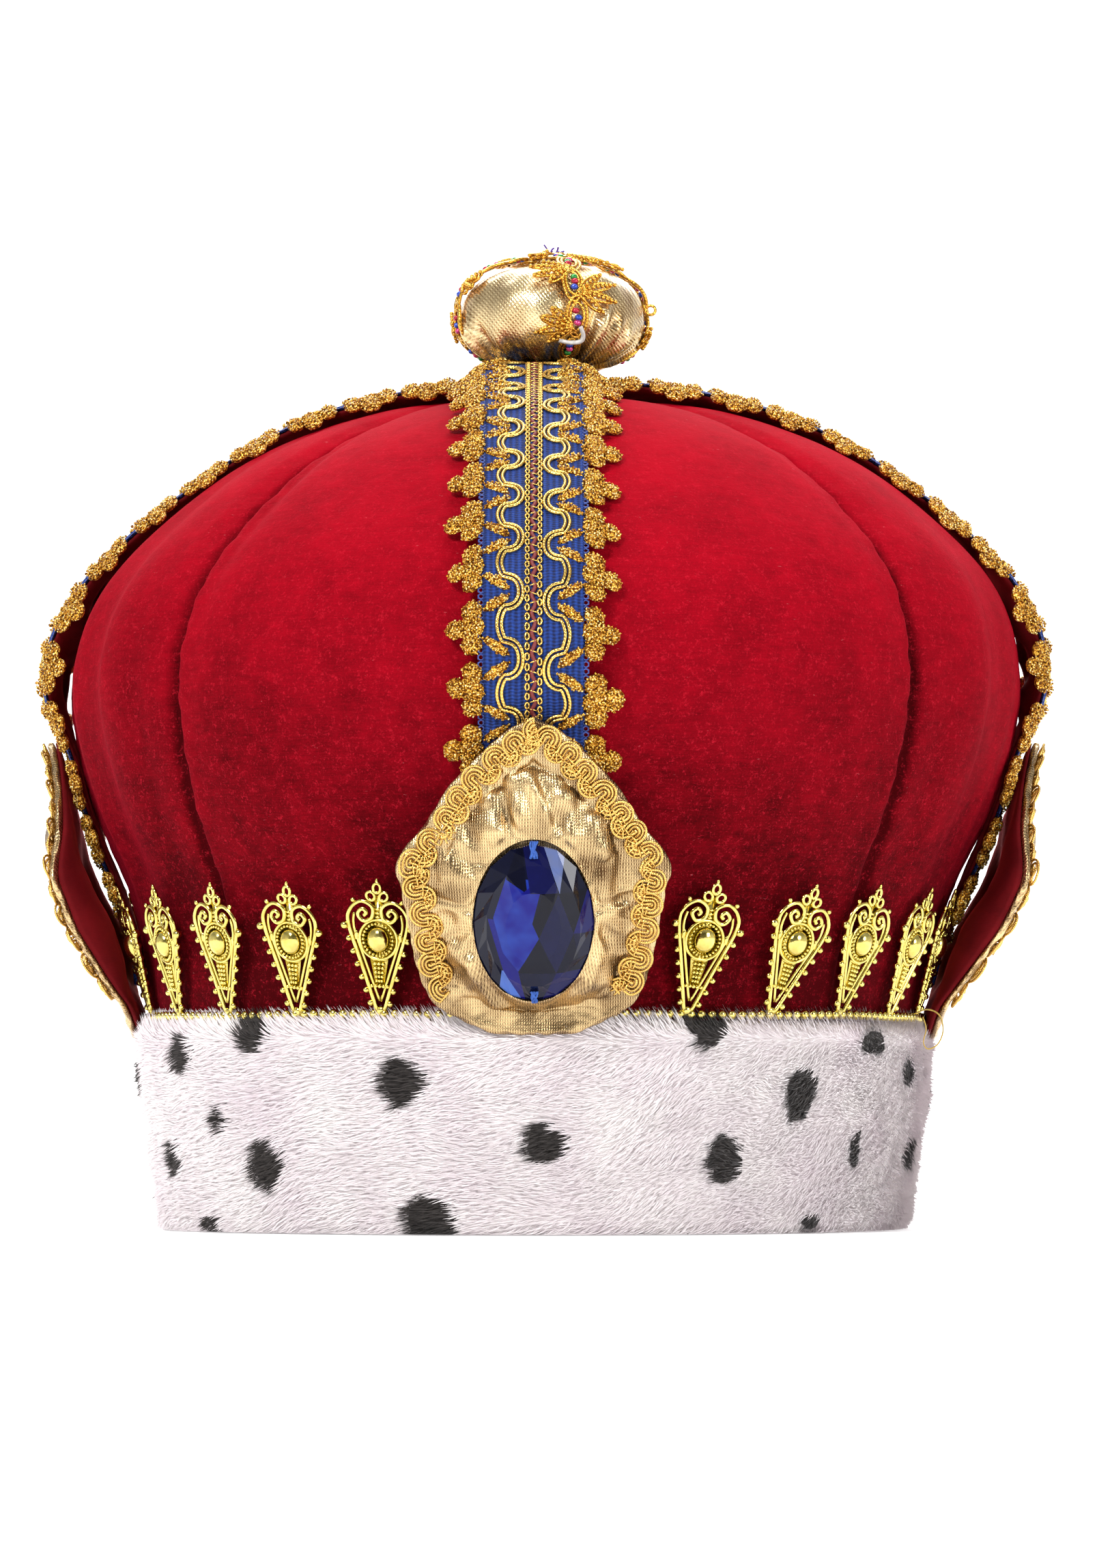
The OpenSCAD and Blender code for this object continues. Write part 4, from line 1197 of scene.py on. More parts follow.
@dataclass
class LaceStrap:
    """A knitted ribbon over the cap with couched cords, loops, sprigs and glitter trefoils."""

    crown: Crown
    cap: VelvetCap
    name: str
    over: int
    # Height above the band where the lace starts
    lace_from: float
    width: float = 25.0
    pitch: float = 16.0
    # Radii between which the upper strap climbs over the lower one
    climb_from: float = 50.0
    climb_to: float = 24.0
    ribbon_low: float = 1.1
    ribbon_high: float = 2.0
    # Most that the lace hangs down beside the ribbon
    hang: float = 7.0
    # The ribbon's two edges, each with the shift of its pattern along it
    edges: tuple = ((-1, 0.0), (1, 2.6))
    # Lobes of a trefoil: along, beyond the ribbon's edge, radius
    lobes: tuple = ((4.2, 2.7, 2.8), (0, 6.8, 2.75), (-4.2, 2.7, 2.8), (0, 2.9, 3.5))
    # An arm of a sprig: along, across, half length, half width
    arm: tuple = (2.8, 9.1, 3.9, 1.3)

    def __post_init__(self) -> None:
        """Works out the underside's run and its lengths."""
        line = smooth_curve(self.crown.strap_rows, 151)
        line[-1, 0] = 0
        climb = ease((self.climb_from - line[:, 0]) / (self.climb_from - self.climb_to))
        z = self.crown.band_h + line[:, 1] + self.over * climb * (self.crown.strap_t + 2 * self.crown.gap)
        half = points_of(-line[:, 0], z)
        self.run = np.concatenate([half, (half * [-1, 1])[-2::-1]])
        self.lengths = walked(self.run)
        self.whole = float(self.lengths[-1])
        self.count = round(self.whole / self.pitch)
        self.step = self.whole / self.count
        at = np.linspace(0, self.whole, 2000)
        seen = at[np.interp(at, self.lengths, self.run[:, 1]) > self.crown.band_h + self.lace_from]
        self.start, self.end = float(seen[0]), float(seen[-1])
        cloth = smooth_curve(self.cap.corners, 300)
        room = np.array([np.linalg.norm(cloth - p, axis=1).min() for p in np.abs(self.run)])
        self.sag = np.clip(room - 1.0, 0.8, self.hang)

    def axes(self, s: Array) -> tuple[Array, Array, Array]:
        """Place on the underside, direction along and direction out, at lengths."""
        before, at, after = (read(s + d, self.lengths, self.run) for d in (-0.8, 0, 0.8))
        way = unit(after - before)
        return at, way, left(way)

    def world(self, flat: Array) -> Array:
        """Turns [along the middle, height] in the strap's plane into a direction or place."""
        return np.insert(flat, 0 if self.over else 1, 0.0, axis=1)

    @property
    def side(self) -> Array:
        """The direction across the strap."""
        return np.array([-1.0, 0, 0]) if self.over else np.array([0, 1.0, 0])

    def place(self, local: Array) -> Array:
        """Points at [along, across, above the underside], with the lace hanging beside the ribbon."""
        at, _, out = self.axes(local[:, 0])
        share = np.clip((np.abs(local[:, 1]) - self.width / 2 + 0.4) / 9.6, 0, 1.1)
        rise = local[:, 2] - np.interp(local[:, 0], self.lengths, self.sag) * share
        points = self.world(at + out * rise[:, None]) + self.side * local[:, 1:2]
        if not self.over:
            points[:, 0] += self.crown.sway(points[:, 2])
        return points

    def ribbon(self) -> Form:
        """The knitted ground, closed, with scalloped edges."""
        s = np.linspace(0, self.whole, int(self.whole / 1.1))
        us = np.array([-1, -0.96, -0.8, -0.5, -0.17, 0.17, 0.5, 0.8, 0.96, 1]) * self.width / 2
        top = [(u, self.ribbon_high - (0.35 if abs(u) > 12 else 0) + 0.12 * math.cos(u * 1.3)) for u in us]
        low = [(u, self.ribbon_low) for u in us[::-1]]
        rows = []
        for u, h in top + low:
            scallop = 0.18 * np.sin(s * ROUND / 2.2) * (abs(u) > 12.2) * np.sign(u)
            lift = 0.12 * ripple(points_of(s, u, 0), 9, 31) * (h > self.ribbon_low)
            rows.append(points_of(s, u + scallop, h + lift))
        form = Form.rings(np.stack(rows, 1), Ends.FLAT)
        form.marks = {"across": form.points[:, 1], "along": form.points[:, 0]}
        return form.bent(self.place)

    def lining(self) -> Form:
        """The satin under the ribbon, slack between its seams, closed."""
        s = np.linspace(0, self.whole, int(self.whole / 2))
        slack = np.clip(np.interp(s, self.lengths, self.sag) * 0.8, 0.1, 5.0)
        half = self.width / 2 + 0.3
        us = np.linspace(-1, 1, 15)
        rows = [points_of(s, u * half, 0.95) for u in us]
        for u in us[::-1]:
            wave = 0.4 * ripple(points_of(s, u * half, 0), 14, 37) * (1 - u * u)
            rows.append(points_of(s, u * half, 0.2 - slack * (1 - u * u) ** 0.6 * (1 + wave)))
        return Form.rings(np.stack(rows, 1), Ends.FLAT).bent(self.place)

    def couching(self, side: int, shift: float) -> list[Array]:
        """Two parallel cords of the meander on one side, in place."""
        t = np.linspace(0, 1, 13)[:-1]
        arc = np.pi * np.linspace(0, 1, 15)[:-1]
        rows = []
        for k in range(self.count):
            centre = (k + 0.5) * self.step + shift
            rows.append(points_of(centre - 0.46 * self.step * (0.5 - t), 7.4 + np.sin(np.pi * t)))
            rows.append(points_of(centre + self.step / 2 - 4.1 * np.cos(arc), 7.0 - 3.9 * np.sin(arc) ** 0.8))
        line = np.concatenate(rows) * [1, side]
        line = line[(line[:, 0] > self.start) & (line[:, 0] < self.end)]
        cross = left(unit(np.gradient(line, axis=0)))
        return [self.place(points_of(*(line + cross * off).T, self.ribbon_high + 0.35))
                for off in (-0.58, 0.58)]

    def mounds(self) -> list[Mound]:
        """The lobes of every trefoil and the arms of every sprig."""
        made = []
        along, across, long, wide = self.arm
        for side, shift in self.edges:
            chance = np.random.default_rng(80 + side + 7 * self.over)
            for s in ((k + 0.5) * self.step + shift for k in range(self.count)):
                if not self.start < s < self.end:
                    continue
                wander, grow = chance.uniform(-0.7, 0.7), chance.uniform(0.92, 1.08)
                made += [Mound(s + wander + a, self.width / 2 + out * grow, side, r * grow, r * grow, 0,
                               round(4.6 * r**2), 1.35, 1.75, 10) for a, out, r in self.lobes]
                made += [Mound(s + self.step / 2 + way * along, across, side, long, wide, way, 22, 1, 2, 8)
                         for way in (-1, 1)]
        return made

    def stitches(self) -> tuple[Array, Array, Array, Array]:
        """Every glitter stitch: local place, its way, its size and its shade."""
        chance = np.random.default_rng(40 + self.over)
        at, way, size = [], [], []
        for mound in self.mounds():
            for k in range(mound.stitches):
                reach, a = math.sqrt((k + 0.5) / mound.stitches), k * 2.39996 + chance.uniform(-0.25, 0.25)
                s, u = mound.at(mound.long * reach * math.cos(a), mound.wide * reach * math.sin(a))
                rise = 1.7 + 1.75 * math.sqrt(max(1.02 - reach**2, 0)) + chance.uniform(-0.15, 0.2)
                at.append((s, u, rise))
                way.append(chance.uniform(-1, 1, 2))
                size.append(chance.uniform(0.75, 1.25, 3))
        return np.array(at), np.array(way), np.array(size), chance.uniform(0, 1, len(at))

    def pillows(self) -> Form:
        """Low mounds that fill the lobes and arms under their stitches."""
        parts = []
        for m in self.mounds():
            form = bead((0, 0, m.foot), (m.long, m.wide, m.height), 4, m.corners)
            x, y, z = form.points.T
            parts.append(Form(points_of(*m.at(x, y), z), form.faces))
        return Form.joined(parts).marked("shade", 0.15).bent(self.place)

    def build(self, weaver: Weaver, finishes: Finishes) -> None:
        """Makes the ribbon and all that is sewn on it."""
        tag = self.name

        def sew(kind: str, unit_form: Form, local: Array, finish: Material,
                way: Array = np.array([[1, 0]]), **more: Array) -> Piece:
            """Strews a unit over places on the strap, each laid along a way [along, across]."""
            _, ahead, out = self.axes(local[:, 0])
            forward = self.world(ahead) * way[:, :1] + self.side * way[:, 1:]
            at, upward = self.place(local), self.world(out)
            return weaver.strew(unit_form, at, upward, forward, f"{kind}_{tag}", finish, **more)

        settle(self.ribbon().piece(f"ribbon_{tag}", finishes.ribbon), "blue_braid", f"braid_{tag}")
        settle(self.lining().piece(f"strap_lining_{tag}", finishes.satin), "satin", f"strap_satin_{tag}")
        paths = [path for edge in self.edges for path in self.couching(*edge)]
        settle(weaver.cords(paths, 0.46, f"couched_cords_{tag}", finishes.bright_cord, 6), "gold_cord")
        at, way, size, shade = self.stitches()
        stitch = bead((0, 0, 0), (0.44, 0.4, 0.4), 2, 4)
        glitter = sew("glitter", stitch, at, finishes.glitter, way, size=size, shade=shade)
        pillows = self.pillows().piece(f"pillows_{tag}", finishes.glitter)
        settle(join(f"trefoil_lace_{tag}", glitter, pillows), "blue_braid")
        s = np.arange(self.start, self.end, 2.3)
        rows = np.concatenate([points_of(s + d, u, 2.35) for u, d in ((-1.55, 0), (1.55, 1.1))])
        loops = sew("loops", hoop((0, 0, 0), 0.5, 0.32, 8, 4, 1.8), rows, finishes.bright_cord)
        slant = points_of(0.35, np.where(np.arange(len(s)) % 2, 1.0, -1.0))
        bar = bead((0, 0, 0), (1.3, 0.24, 0.22), 3, 5)
        bars = sew("bars", bar, points_of(s, 0, 2.45), finishes.bright_cord, slant)
        settle(join(f"centre_loops_{tag}", loops, bars), "gold_cord")
        s = np.arange(self.start, self.end, 0.8)
        core = self.place(points_of(s, 0.45 * np.sin(s * ROUND / 4.6), 2.15))
        settle(weaver.cords([core], 0.55, f"centre_core_{tag}", finishes.core), "satin")
        s = np.arange(self.start, self.end, 1.65)
        rows = np.concatenate([points_of(s, m * (self.width / 2 + 0.35), 1.7) for m in (-1, 1)])
        settle(sew("picots", hoop((0, 0, 0), 0.72, 0.27, 6, 3), rows, finishes.picot), "blue_braid")


class Side(Enum):
    """The four sides that a shield is sewn to, with their turn from the front."""

    FRONT = 0
    RIGHT = 90
    BACK = 180
    LEFT = 270

    @property
    def lean(self) -> int:
        """1 on the right, -1 on the left, 0 in front and at the back."""
        return {Side.RIGHT: 1, Side.LEFT: -1}.get(self, 0)


@dataclass
class Shield:
    """A padded lame shield with its scroll braid."""

    crown: Crown
    side: Side
    half: float = 33.4
    edge: float = 2.2
    # How far the long edges of the plain shields stand out from their middle
    flare: float = 3.6
    # Share of half the width, height above the band
    edge_rows: tuple = (
        (0, -3.9), (0.3, -3.3), (0.58, 0.5), (0.76, 5), (0.86, 12.5), (0.92, 22), (0.97, 31),
        (1.0, 38.5), (0.79, 48.5), (0.59, 58), (0.27, 68.5), (0, 74.3))
    # Scale of a plain front's ring, its rise above the edge
    plain_rows: tuple = ((0, 3.8), (0.2, 3.65), (0.38, 3.2), (0.58, 1.4), (0.73, 0.1), (1, 0))
    stone_half: tuple = (15.0, 20.0)
    stone_lean: float = 17.0
    stone_back: float = 119.6
    # Height of the pad's rim round the stone, over the plane that the stone rests on
    seat_rise: float = 1.7
    gimp_from: float = 0.12
    gimp_wide: float = 7.6
    gimp_period: float = 6.3
    gimp_swing: float = 1.66
    # Folds of the front: from across and height, to across and height, width, height of the fold
    front_folds: tuple = (
        (-1.6, 116.0, 3.4, 101.0, 1.1, 1.7), (-5.8, 114.5, -2.6, 100.0, 1.3, 1.6),
        (-11.5, 110, -8, 97.5, 1.6, 1.6), (6.6, 110, 10.6, 96.5, 1.6, 1.7),
        (14.4, 103.5, 18.0, 93.0, 1.4, 1.6), (18.0, 95, 16.6, 80.0, 1.6, 1.5),
        (-21.3, 80, -17.4, 67.5, 1.3, -1.4), (-20.5, 73.5, -8.5, 56.5, 1.5, 1.8),
        (11.0, 64.0, 19.5, 60.5, 2.0, 1.8), (-21.0, 100.5, -22, 86.5, 2.0, 1.4),
        (17.2, 77.0, 20.5, 65.0, 1.4, -1.3), (-14.5, 62, -21.5, 59.5, 1.3, 1.2),
        (0.8, 112, 6.4, 100.5, 0.9, -1.1), (-8.4, 112, -5.4, 98.5, 1.0, -1.1),
        (21.4, 94, 22.5, 80, 1.3, -1.0), (-16.5, 104, -14.0, 96, 1.2, -1.0),
        (-18.0, 92.0, -17.8, 82, 1.2, 0.8), (3.5, 58.5, 13.5, 61.0, 1.2, 0.9))
    plain_folds: tuple = (
        (0, 117, 2.0, 103, 1.2, 1.3), (-6, 112, -4.0, 101, 1.4, 1.2), (7, 110, 5.0, 99, 1.4, 1.2),
        (-20, 92, -11, 88, 1.5, 1.2), (20, 96, 12, 91, 1.5, 1.2), (-17, 70, -9, 76, 1.6, 1.3),
        (17, 66, 8, 74, 1.6, 1.3), (-3, 60, -2, 70, 1.4, 1.2), (6, 59, 4, 69, 1.3, -1.0),
        (-12, 103, -8, 95, 1.3, -1.0), (0, 84, 1.5, 76, 2.4, -0.7))

    @property
    def stone_z(self) -> float:
        """Height of the stone's middle."""
        return self.crown.band_h + 23.9

    @property
    def middle_z(self) -> float:
        """Height that the rings draw in to."""
        return self.stone_z if self.side is Side.FRONT else self.crown.band_h + 41

    def outline(self, share: Array) -> Array:
        """The outline [across, height] at shares of the way round from the foot, by the right."""
        share = np.asarray(share, float) % 1
        right = share <= 0.5
        at = smooth_curve(self.edge_rows, np.where(right, share, 1 - share) * 2)
        across = np.where(right, 1, -1) * np.maximum(at[..., 0], 0) * self.half
        return points_of(across, self.crown.band_h + at[..., 1])

    def back(self, z: Array) -> Array:
        """Radius of the shield's back at a height."""
        return self.crown.shield_back(z, self.side.lean)

    def world(self, local: Array) -> Array:
        """Points at [across, out, height], turned to this side."""
        x, out, z = local.T
        return points_of(*turned(x, -out - self.stands_out(x), math.radians(self.side.value)), z)

    def stands_out(self, x: Array) -> Array:
        """How far the plain shields bend outward at a distance across."""
        return 0 * x if self.side is Side.FRONT else self.flare * (np.abs(x) / self.half) ** 2

    def oval(self, share: Array, grow: float) -> Array:
        """Points of the stone's oval in line with the outline."""
        w, h = self.stone_half
        x, z = self.outline(share).T
        a = np.arctan2((z - self.stone_z) / h, x / w)
        return points_of(grow * w * np.cos(a), self.stone_z + grow * h * np.sin(a))

    def stone_plane(self, z: Array) -> Array:
        """Radius of the plane that the stone rests on."""
        return self.stone_back + (z - self.stone_z) * math.tan(math.radians(self.stone_lean))

    def ring(self, share: Array, scale: float, rise: float) -> Array:
        """A ring drawn in towards the middle, at a rise above the back: across, out, height."""
        x, z = self.outline(share).T
        z = mix(self.middle_z, z, scale)
        return points_of(x * scale, self.back(z) + rise, z)

    def seat_ring(self, share: Array, t: float) -> Array:
        """A ring of the front between its edge (0) and the stone's rim (1)."""
        centre = np.array([0, self.stone_z])
        drawn_in = mix(centre, self.outline(share), 1 - 0.5 * t)
        x, z = mix(drawn_in, self.oval(share, 0.992), ease((t - 0.5) / 0.5)).T
        low, rim = self.back(z) + self.edge, self.stone_plane(z) + self.seat_rise
        return points_of(x, mix(low, rim, ease((t - 0.46) / 0.42)), z)

    def pad(self) -> tuple[Form, Array]:
        """The pad before it swells, and where it is sewn down."""
        front = self.side is Side.FRONT
        n = 152 if front else 112
        share = np.arange(n) / n
        rows = [(self.ring(share, scale, 0.0), 1.0) for scale in np.linspace(0.1, 0.985, 8)]
        rows += [(self.ring(share, scale, rise), 1.0 if rise < 1 else 0.35)
                 for scale, rise in ((1.0, 0.45), (1.006, 1.1), (0.998, 1.8), (0.98, self.edge))]
        if front:
            rows += [(self.seat_ring(share, t), 0.9 if t < 0.42 else 0.03 if t < 0.93 else 1.0)
                     for t in np.linspace(0.06, 1, 26)]
            for grow, drop in ((1.006, 0.3), (1.012, 1.5), (0.6, 2.0)):
                x, z = self.oval(share, grow).T
                rows.append((points_of(x, self.stone_plane(z) + self.seat_rise - drop, z), 1.0))
        else:
            rows += [(self.ring(share, scale, self.edge + 0.92 * lookup(self.plain_rows, scale)),
                      0.9 if scale > 0.74 else 0.02) for scale in np.linspace(0.955, 0.06, 24)]
        rings, held = zip(*rows)
        tips = [[0, float(self.back(self.middle_z)), self.middle_z], rings[-1].mean(0)]
        form = Form.rings(rings, Ends.POINTS, tips)
        form.marks = {"across": form.points[:, 0], "up": form.points[:, 2]}
        return form.bent(self.world), np.concatenate([np.repeat(held, n), [1.0, held[-1]]])

    def creases(self, points: Array) -> Array:
        """Height of the folds and of the puckers along the braid's stitching."""
        front = self.side is Side.FRONT
        x, into = turned(points[:, 0], points[:, 1], -math.radians(self.side.value))
        z = points[:, 2]
        total = 0.42 * ripple(points, 15, 51 + self.side.value)
        for x0, z0, x1, z1, width, height in self.front_folds if front else self.plain_folds:
            long = math.hypot(x1 - x0, z1 - z0)
            ux, uz = (x1 - x0) / long, (z1 - z0) / long
            t = ((x - x0) * ux + (z - z0) * uz) / long
            off = ((x - x0) * uz - (z - z0) * ux + 0.5 * np.sin(t * 4 + x0)) / width
            ends = ease((t + 0.3) / 0.5) * ease((1.3 - t) / 0.5)
            total += 0.88 * height * np.exp(-((off / 1.7) ** 2)) * ends
        inset = self.inset(x, z)
        around = np.arctan2(z - self.middle_z, x)
        total += 0.08 * np.sin(around * 40 + 2 * np.sin(around * 5)) * np.exp(-((inset - 9.8) / 2.0) ** 2)
        total -= 0.12 * np.exp(-((inset - 8.6) / 0.9) ** 2)
        if front:
            w, h = self.stone_half
            total *= ease((np.hypot(x / w, (z - self.stone_z) / h) - 1.04) / 0.12)
        face = ease(-into - self.stands_out(x) - self.back(z) - 1.4)
        return total * face * ease((inset - 1.0) / 3.0 + 0.15)

    def inset(self, x: Array, z: Array) -> Array:
        """Rough distance of points inside the outline."""
        line = self.outline(np.linspace(0, 1, 90, endpoint=False))
        return np.sqrt(((x[:, None] - line[:, 0]) ** 2 + (z[:, None] - line[:, 1]) ** 2).min(1))

    def gimp_paths(self) -> tuple[list[Array], Array, Array]:
        """The scroll braid's parallel cords, and the places and directions of the ribs that bind them."""
        line = self.outline(np.linspace(self.gimp_from, 1 - self.gimp_from, 900))
        ahead = unit(np.gradient(line, axis=0))
        for _ in range(60):
            ahead[1:-1] = (ahead[:-2] + 2 * ahead[1:-1] + ahead[2:]) / 4
            ahead = unit(ahead)
        inward = left(ahead)
        middle = line + inward * (self.gimp_wide / 2 + np.linspace(0.0, 0.9, len(line))[:, None])
        length = walked(middle)
        whole = length[-1]
        count = round(whole / self.gimp_period)

        def on_pad(flat: Array, rise: Number) -> Array:
            """Places on the pad at [along the braid, across it]."""
            s = np.clip(flat[:, 0], 0.3, whole - 0.3)
            x, z = (read(s, length, middle) + unit(read(s, length, inward)) * flat[:, 1:]).T
            return self.world(points_of(x, self.back(z) + self.edge + rise, z))

        phase = np.linspace(0, ROUND * count, 30 * count + 1)
        swing = (self.gimp_swing + 0.1 * np.sin(phase * 0.31 + self.side.value)) * np.cos(phase)
        core = np.cumsum(points_of(np.cos(swing), np.sin(swing)), axis=0)
        core[:, 1] -= np.linspace(core[0, 1], core[-1, 1], len(core))
        core = core * [whole / core[-1, 0], 2.6 / np.abs(core[:, 1]).max()]
        core[:, 1] += 0.3 * np.sin(phase * 0.23 + 1)
        cross = left(unit(np.gradient(core, axis=0)))
        crown = 0.8 + 0.07 * core[:, 1] ** 2
        paths = [on_pad(core + cross * off, crown + 0.42 * np.sin(phase * 1.5 + off * 2))
                 for off in (-1.26, -0.42, 0.42, 1.26)]
        run = walked(core)
        at = np.arange(0.6, run[-1] - 0.6, 0.98)
        rail = on_pad(read(at, run, core), 1.25)
        outer = np.interp(at, run, np.sin(phase)) > 0.0
        return paths, rail[outer], unit(np.gradient(rail, axis=0))[outer]

    def room(self, z: Array) -> Array:
        """Free distance between the shield's back and the cap at a height."""
        cloth = smooth_curve(VelvetCap(self.crown).corners, 300)
        radius, rise = np.array(self.crown.shield_rows).T
        back = np.interp(z, self.crown.band_h + rise, radius)
        return np.maximum(back - np.interp(z, cloth[:, 1], cloth[:, 0]) - 3.4, 0)

    def lining(self) -> Form:
        """The satin behind the shield, slack between its seams."""
        share = np.arange(72) / 72
        scales = np.linspace(0.08, 0.985, 14)
        rings = []
        for depth, slack, scale in [(0.15, 0, k) for k in scales] + [(0.95, 1, k) for k in scales[::-1]]:
            flat = self.ring(share, scale, 0.0)
            off = np.abs(flat[:, 0])
            room = self.room(flat[:, 2]) * mix(1.0, 0.4, ease((flat[:, 2] - self.crown.band_h - 16) / 28))
            bulge = room * ease((off - 13.5) / 9) * (1 - scale**9)
            sag = 0.35 * ripple(flat, 15, 90 + self.side.value) * ease((off - 13.5) / 5)
            flat[:, 1] -= depth + slack * (bulge + np.abs(sag))
            rings.append(flat)
        return Form.rings(rings, Ends.POINTS, [rings[0].mean(0), rings[-1].mean(0)]).bent(self.world)

    def build(self, weaver: Weaver, finishes: Finishes) -> None:
        """Makes the pad, its lining and its scroll braid."""
        tag = self.side.name.lower()
        form, held = self.pad()
        pad = subdivide(inflate(form, held, 1.6, 3.0, 0.05).piece(f"shield_pad_{tag}", finishes.lame))
        settle(emboss(pad, self.creases), "gold_lame", f"shield_{tag}")
        if self.side is not Side.FRONT:
            lining = self.lining().piece(f"shield_lining_{tag}", finishes.satin)
            settle(lining, "satin", f"shield_satin_{tag}")
        paths, rail, ahead = self.gimp_paths()
        scrolls = weaver.cords(paths, 0.37, f"scrolls_{tag}", finishes.cord, 6)
        rib = bead((0, 0, 0), (0.29, 1.65, 0.5), 4, 6)
        ribs = weaver.strew(rib, rail, unit(rail * [1, 1, 0]), ahead, f"ribs_{tag}", finishes.cord)
        settle(join(f"scroll_braid_{tag}", scrolls, ribs), "gold_cord", f"gimp_{tag}")


@dataclass
class FacetedStone:
    """The oval stone with the model's own facets, and the blue thread that holds it."""

    shield: Shield
    thread_rise: float = 3.3
    # Painted reflections and painted shade: how light the stone looks inside each lozenge, whose corners are
    # shares of half the oval
    glints: tuple = (
        (0.97, ((0.11, 1.1), (0.56, 1.1), (0.43, 0.43))),
        (0.36, ((0.11, 1.1), (0.41, 0.44), (-0.05, 0.44), (-0.2, 1.1))),
        (0.6, ((0.1, 0.6), (0.3, 0.6), (0.41, 0.44), (-0.2, 0.44))),
        (0.08, ((-0.2, 1.1), (-0.1, 0.44), (-0.45, 0.6))),
        (0.72, ((-0.45, 0.62), (0.16, 0.6), (-0.02, 0.06), (0.09, -0.13), (-0.25, -0.56), (-0.5, -0.32),
                (-0.66, 0.12))),
        (0.62, ((-0.75, 0.1), (-0.62, 0.1), (-0.25, -0.56), (-0.1, -1.1), (-0.5, -0.55))),
        (0.9, ((-0.52, -0.56), (-0.36, -0.56), (-0.08, -1.1), (-0.6, -1.1))),
        (0.3, ((0.41, 0.43), (0.09, -0.13), (0.375, -0.59), (0.66, -0.08))),
        (0.05, ((0.41, 0.43), (0.89, 0.45), (0.66, -0.08))),
        (0.05, ((-0.02, 0.06), (0.16, 0.44), (0.41, 0.43), (0.09, -0.13))),
        (0.48, ((0.89, 0.49), (0.66, -0.08), (1.1, -0.1), (1.1, 0.3))),
        (0.26, ((0.66, -0.08), (1.1, -0.1), (0.77, -0.58))),
        (0.08, ((0.09, -0.13), (0.375, -0.59), (-0.25, -0.58))),
        (0.12, ((0.66, -0.08), (0.375, -0.59), (0.77, -0.58))),
        (0.24, ((-0.25, -0.58), (0.375, -0.59), (0.07, -1.1))),
        (0.4, ((0.375, -0.59), (0.9, -0.58), (0.4, -1.1), (0.07, -1.1))))
    # Painted shade of the facets that do not face the front
    rim_shade: float = 0.16

    @property
    def axes(self) -> tuple[Vector, Vector, Vector]:
        """The middle of the stone's back, and the directions up and out."""
        lean = math.radians(self.shield.stone_lean)
        s, c = math.sin(lean), math.cos(lean)
        middle = Vector((0, -self.shield.stone_back, self.shield.stone_z))
        return middle, Vector((0, -s, c)), Vector((0, -c, -s))

    def flat(self, point: Vector) -> Vector:
        """Where a point lies over the stone's face, in shares of half the oval."""
        w, h = self.shield.stone_half
        middle, up, _ = self.axes
        return Vector(((point - middle).x / w, (point - middle).dot(up) / h))

    def build(self, weaver: Weaver, finishes: Finishes) -> None:
        """Makes the stone and the thread at its two holes."""
        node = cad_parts["stone"]
        work = bmesh.new()
        work.from_mesh(node.data)
        work.transform(node.matrix_world)
        bmesh.ops.remove_doubles(work, verts=work.verts, dist=1e-6)
        bmesh.ops.dissolve_limit(work, angle_limit=math.radians(1.0), verts=work.verts, edges=work.edges)
        for _, corners in self.glints:
            for a, b in zip(corners, corners[1:] + corners[:1]):
                self.split(work, a, b)
        forms = []
        for face in work.faces:
            corners = np.array([v.co[:] for v in face.verts]) / MM
            shade = self.shade(Vector(corners.mean(0))) if face.normal.y < -0.2 else self.rim_shade
            forms.append(Form(corners, [list(range(len(corners)))]).marked("shade", shade))
        work.free()
        settle(Form.joined(forms).piece("oval_stone", finishes.stone, smooth=False), "blue_stone", "stone")
        settle(weaver.cords(self.threads(), 0.26, "stone_thread", finishes.stone_thread, 4), "blue_braid")

    def split(self, work: bmesh.types.BMesh, a: tuple, b: tuple) -> None:
        """Splits the facets that one glint's edge crosses, without moving them."""
        w, h = self.shield.stone_half
        middle, up, out = self.axes
        start, end = (Vector((x * w, 0, 0)) + up * (y * h) for x, y in (a, b))
        low, high = Vector(a) * 0.999, Vector(b) * 0.999
        near = []
        for face in work.faces:
            flat = self.flat(face.calc_center_median() / MM)
            share = (flat - low).dot(high - low) / max((high - low).length_squared, 1e-9)
            if -0.35 < share < 1.35 and abs((flat - low).cross((high - low).normalized())) < 0.6:
                near.append(face)
        parts = {e for f in near for e in f.edges} | {v for f in near for v in f.verts}
        bmesh.ops.bisect_plane(work, geom=[*near, *parts], dist=1e-7, plane_co=(middle + start) * MM,
                               plane_no=(end - start).cross(out).normalized())

    def shade(self, middle: Vector) -> float:
        """How light a facet is painted, by where it lies, as painted reflection or painted shade."""
        x, y = self.flat(middle)
        for light, corners in self.glints:
            crossed = [(y0 > y) != (y1 > y) and x < x0 + (y - y0) * (x1 - x0) / (y1 - y0)
                       for (x0, y0), (x1, y1) in zip(corners, corners[1:] + corners[:1])]
            if sum(crossed) % 2:
                return light
        return self.rim_shade

    def threads(self) -> list[Array]:
        """Short tufts of thread at the top and the foot of the stone."""
        middle, up, out = self.axes
        half = self.shield.stone_half[1]
        chance = np.random.default_rng(4)
        t = np.linspace(0, 1, 7)
        paths = []
        for end, beyond in ((-1, 0.1), (1, 0.9)):
            for k in range(9):
                x = mix(*chance.uniform(-0.9, 0.9, 2), t) + 0.3 * np.sin(t * 6 + k)
                y = end * mix(half - 3.0, half + beyond, t)
                rise = self.thread_rise + 0.9 * np.sin(np.pi * t) - 1.4 * t + chance.uniform(-0.3, 0.3)
                paths.append(points_of(x, 0, 0) + middle + np.outer(y, up) + np.outer(rise, out))
        return paths


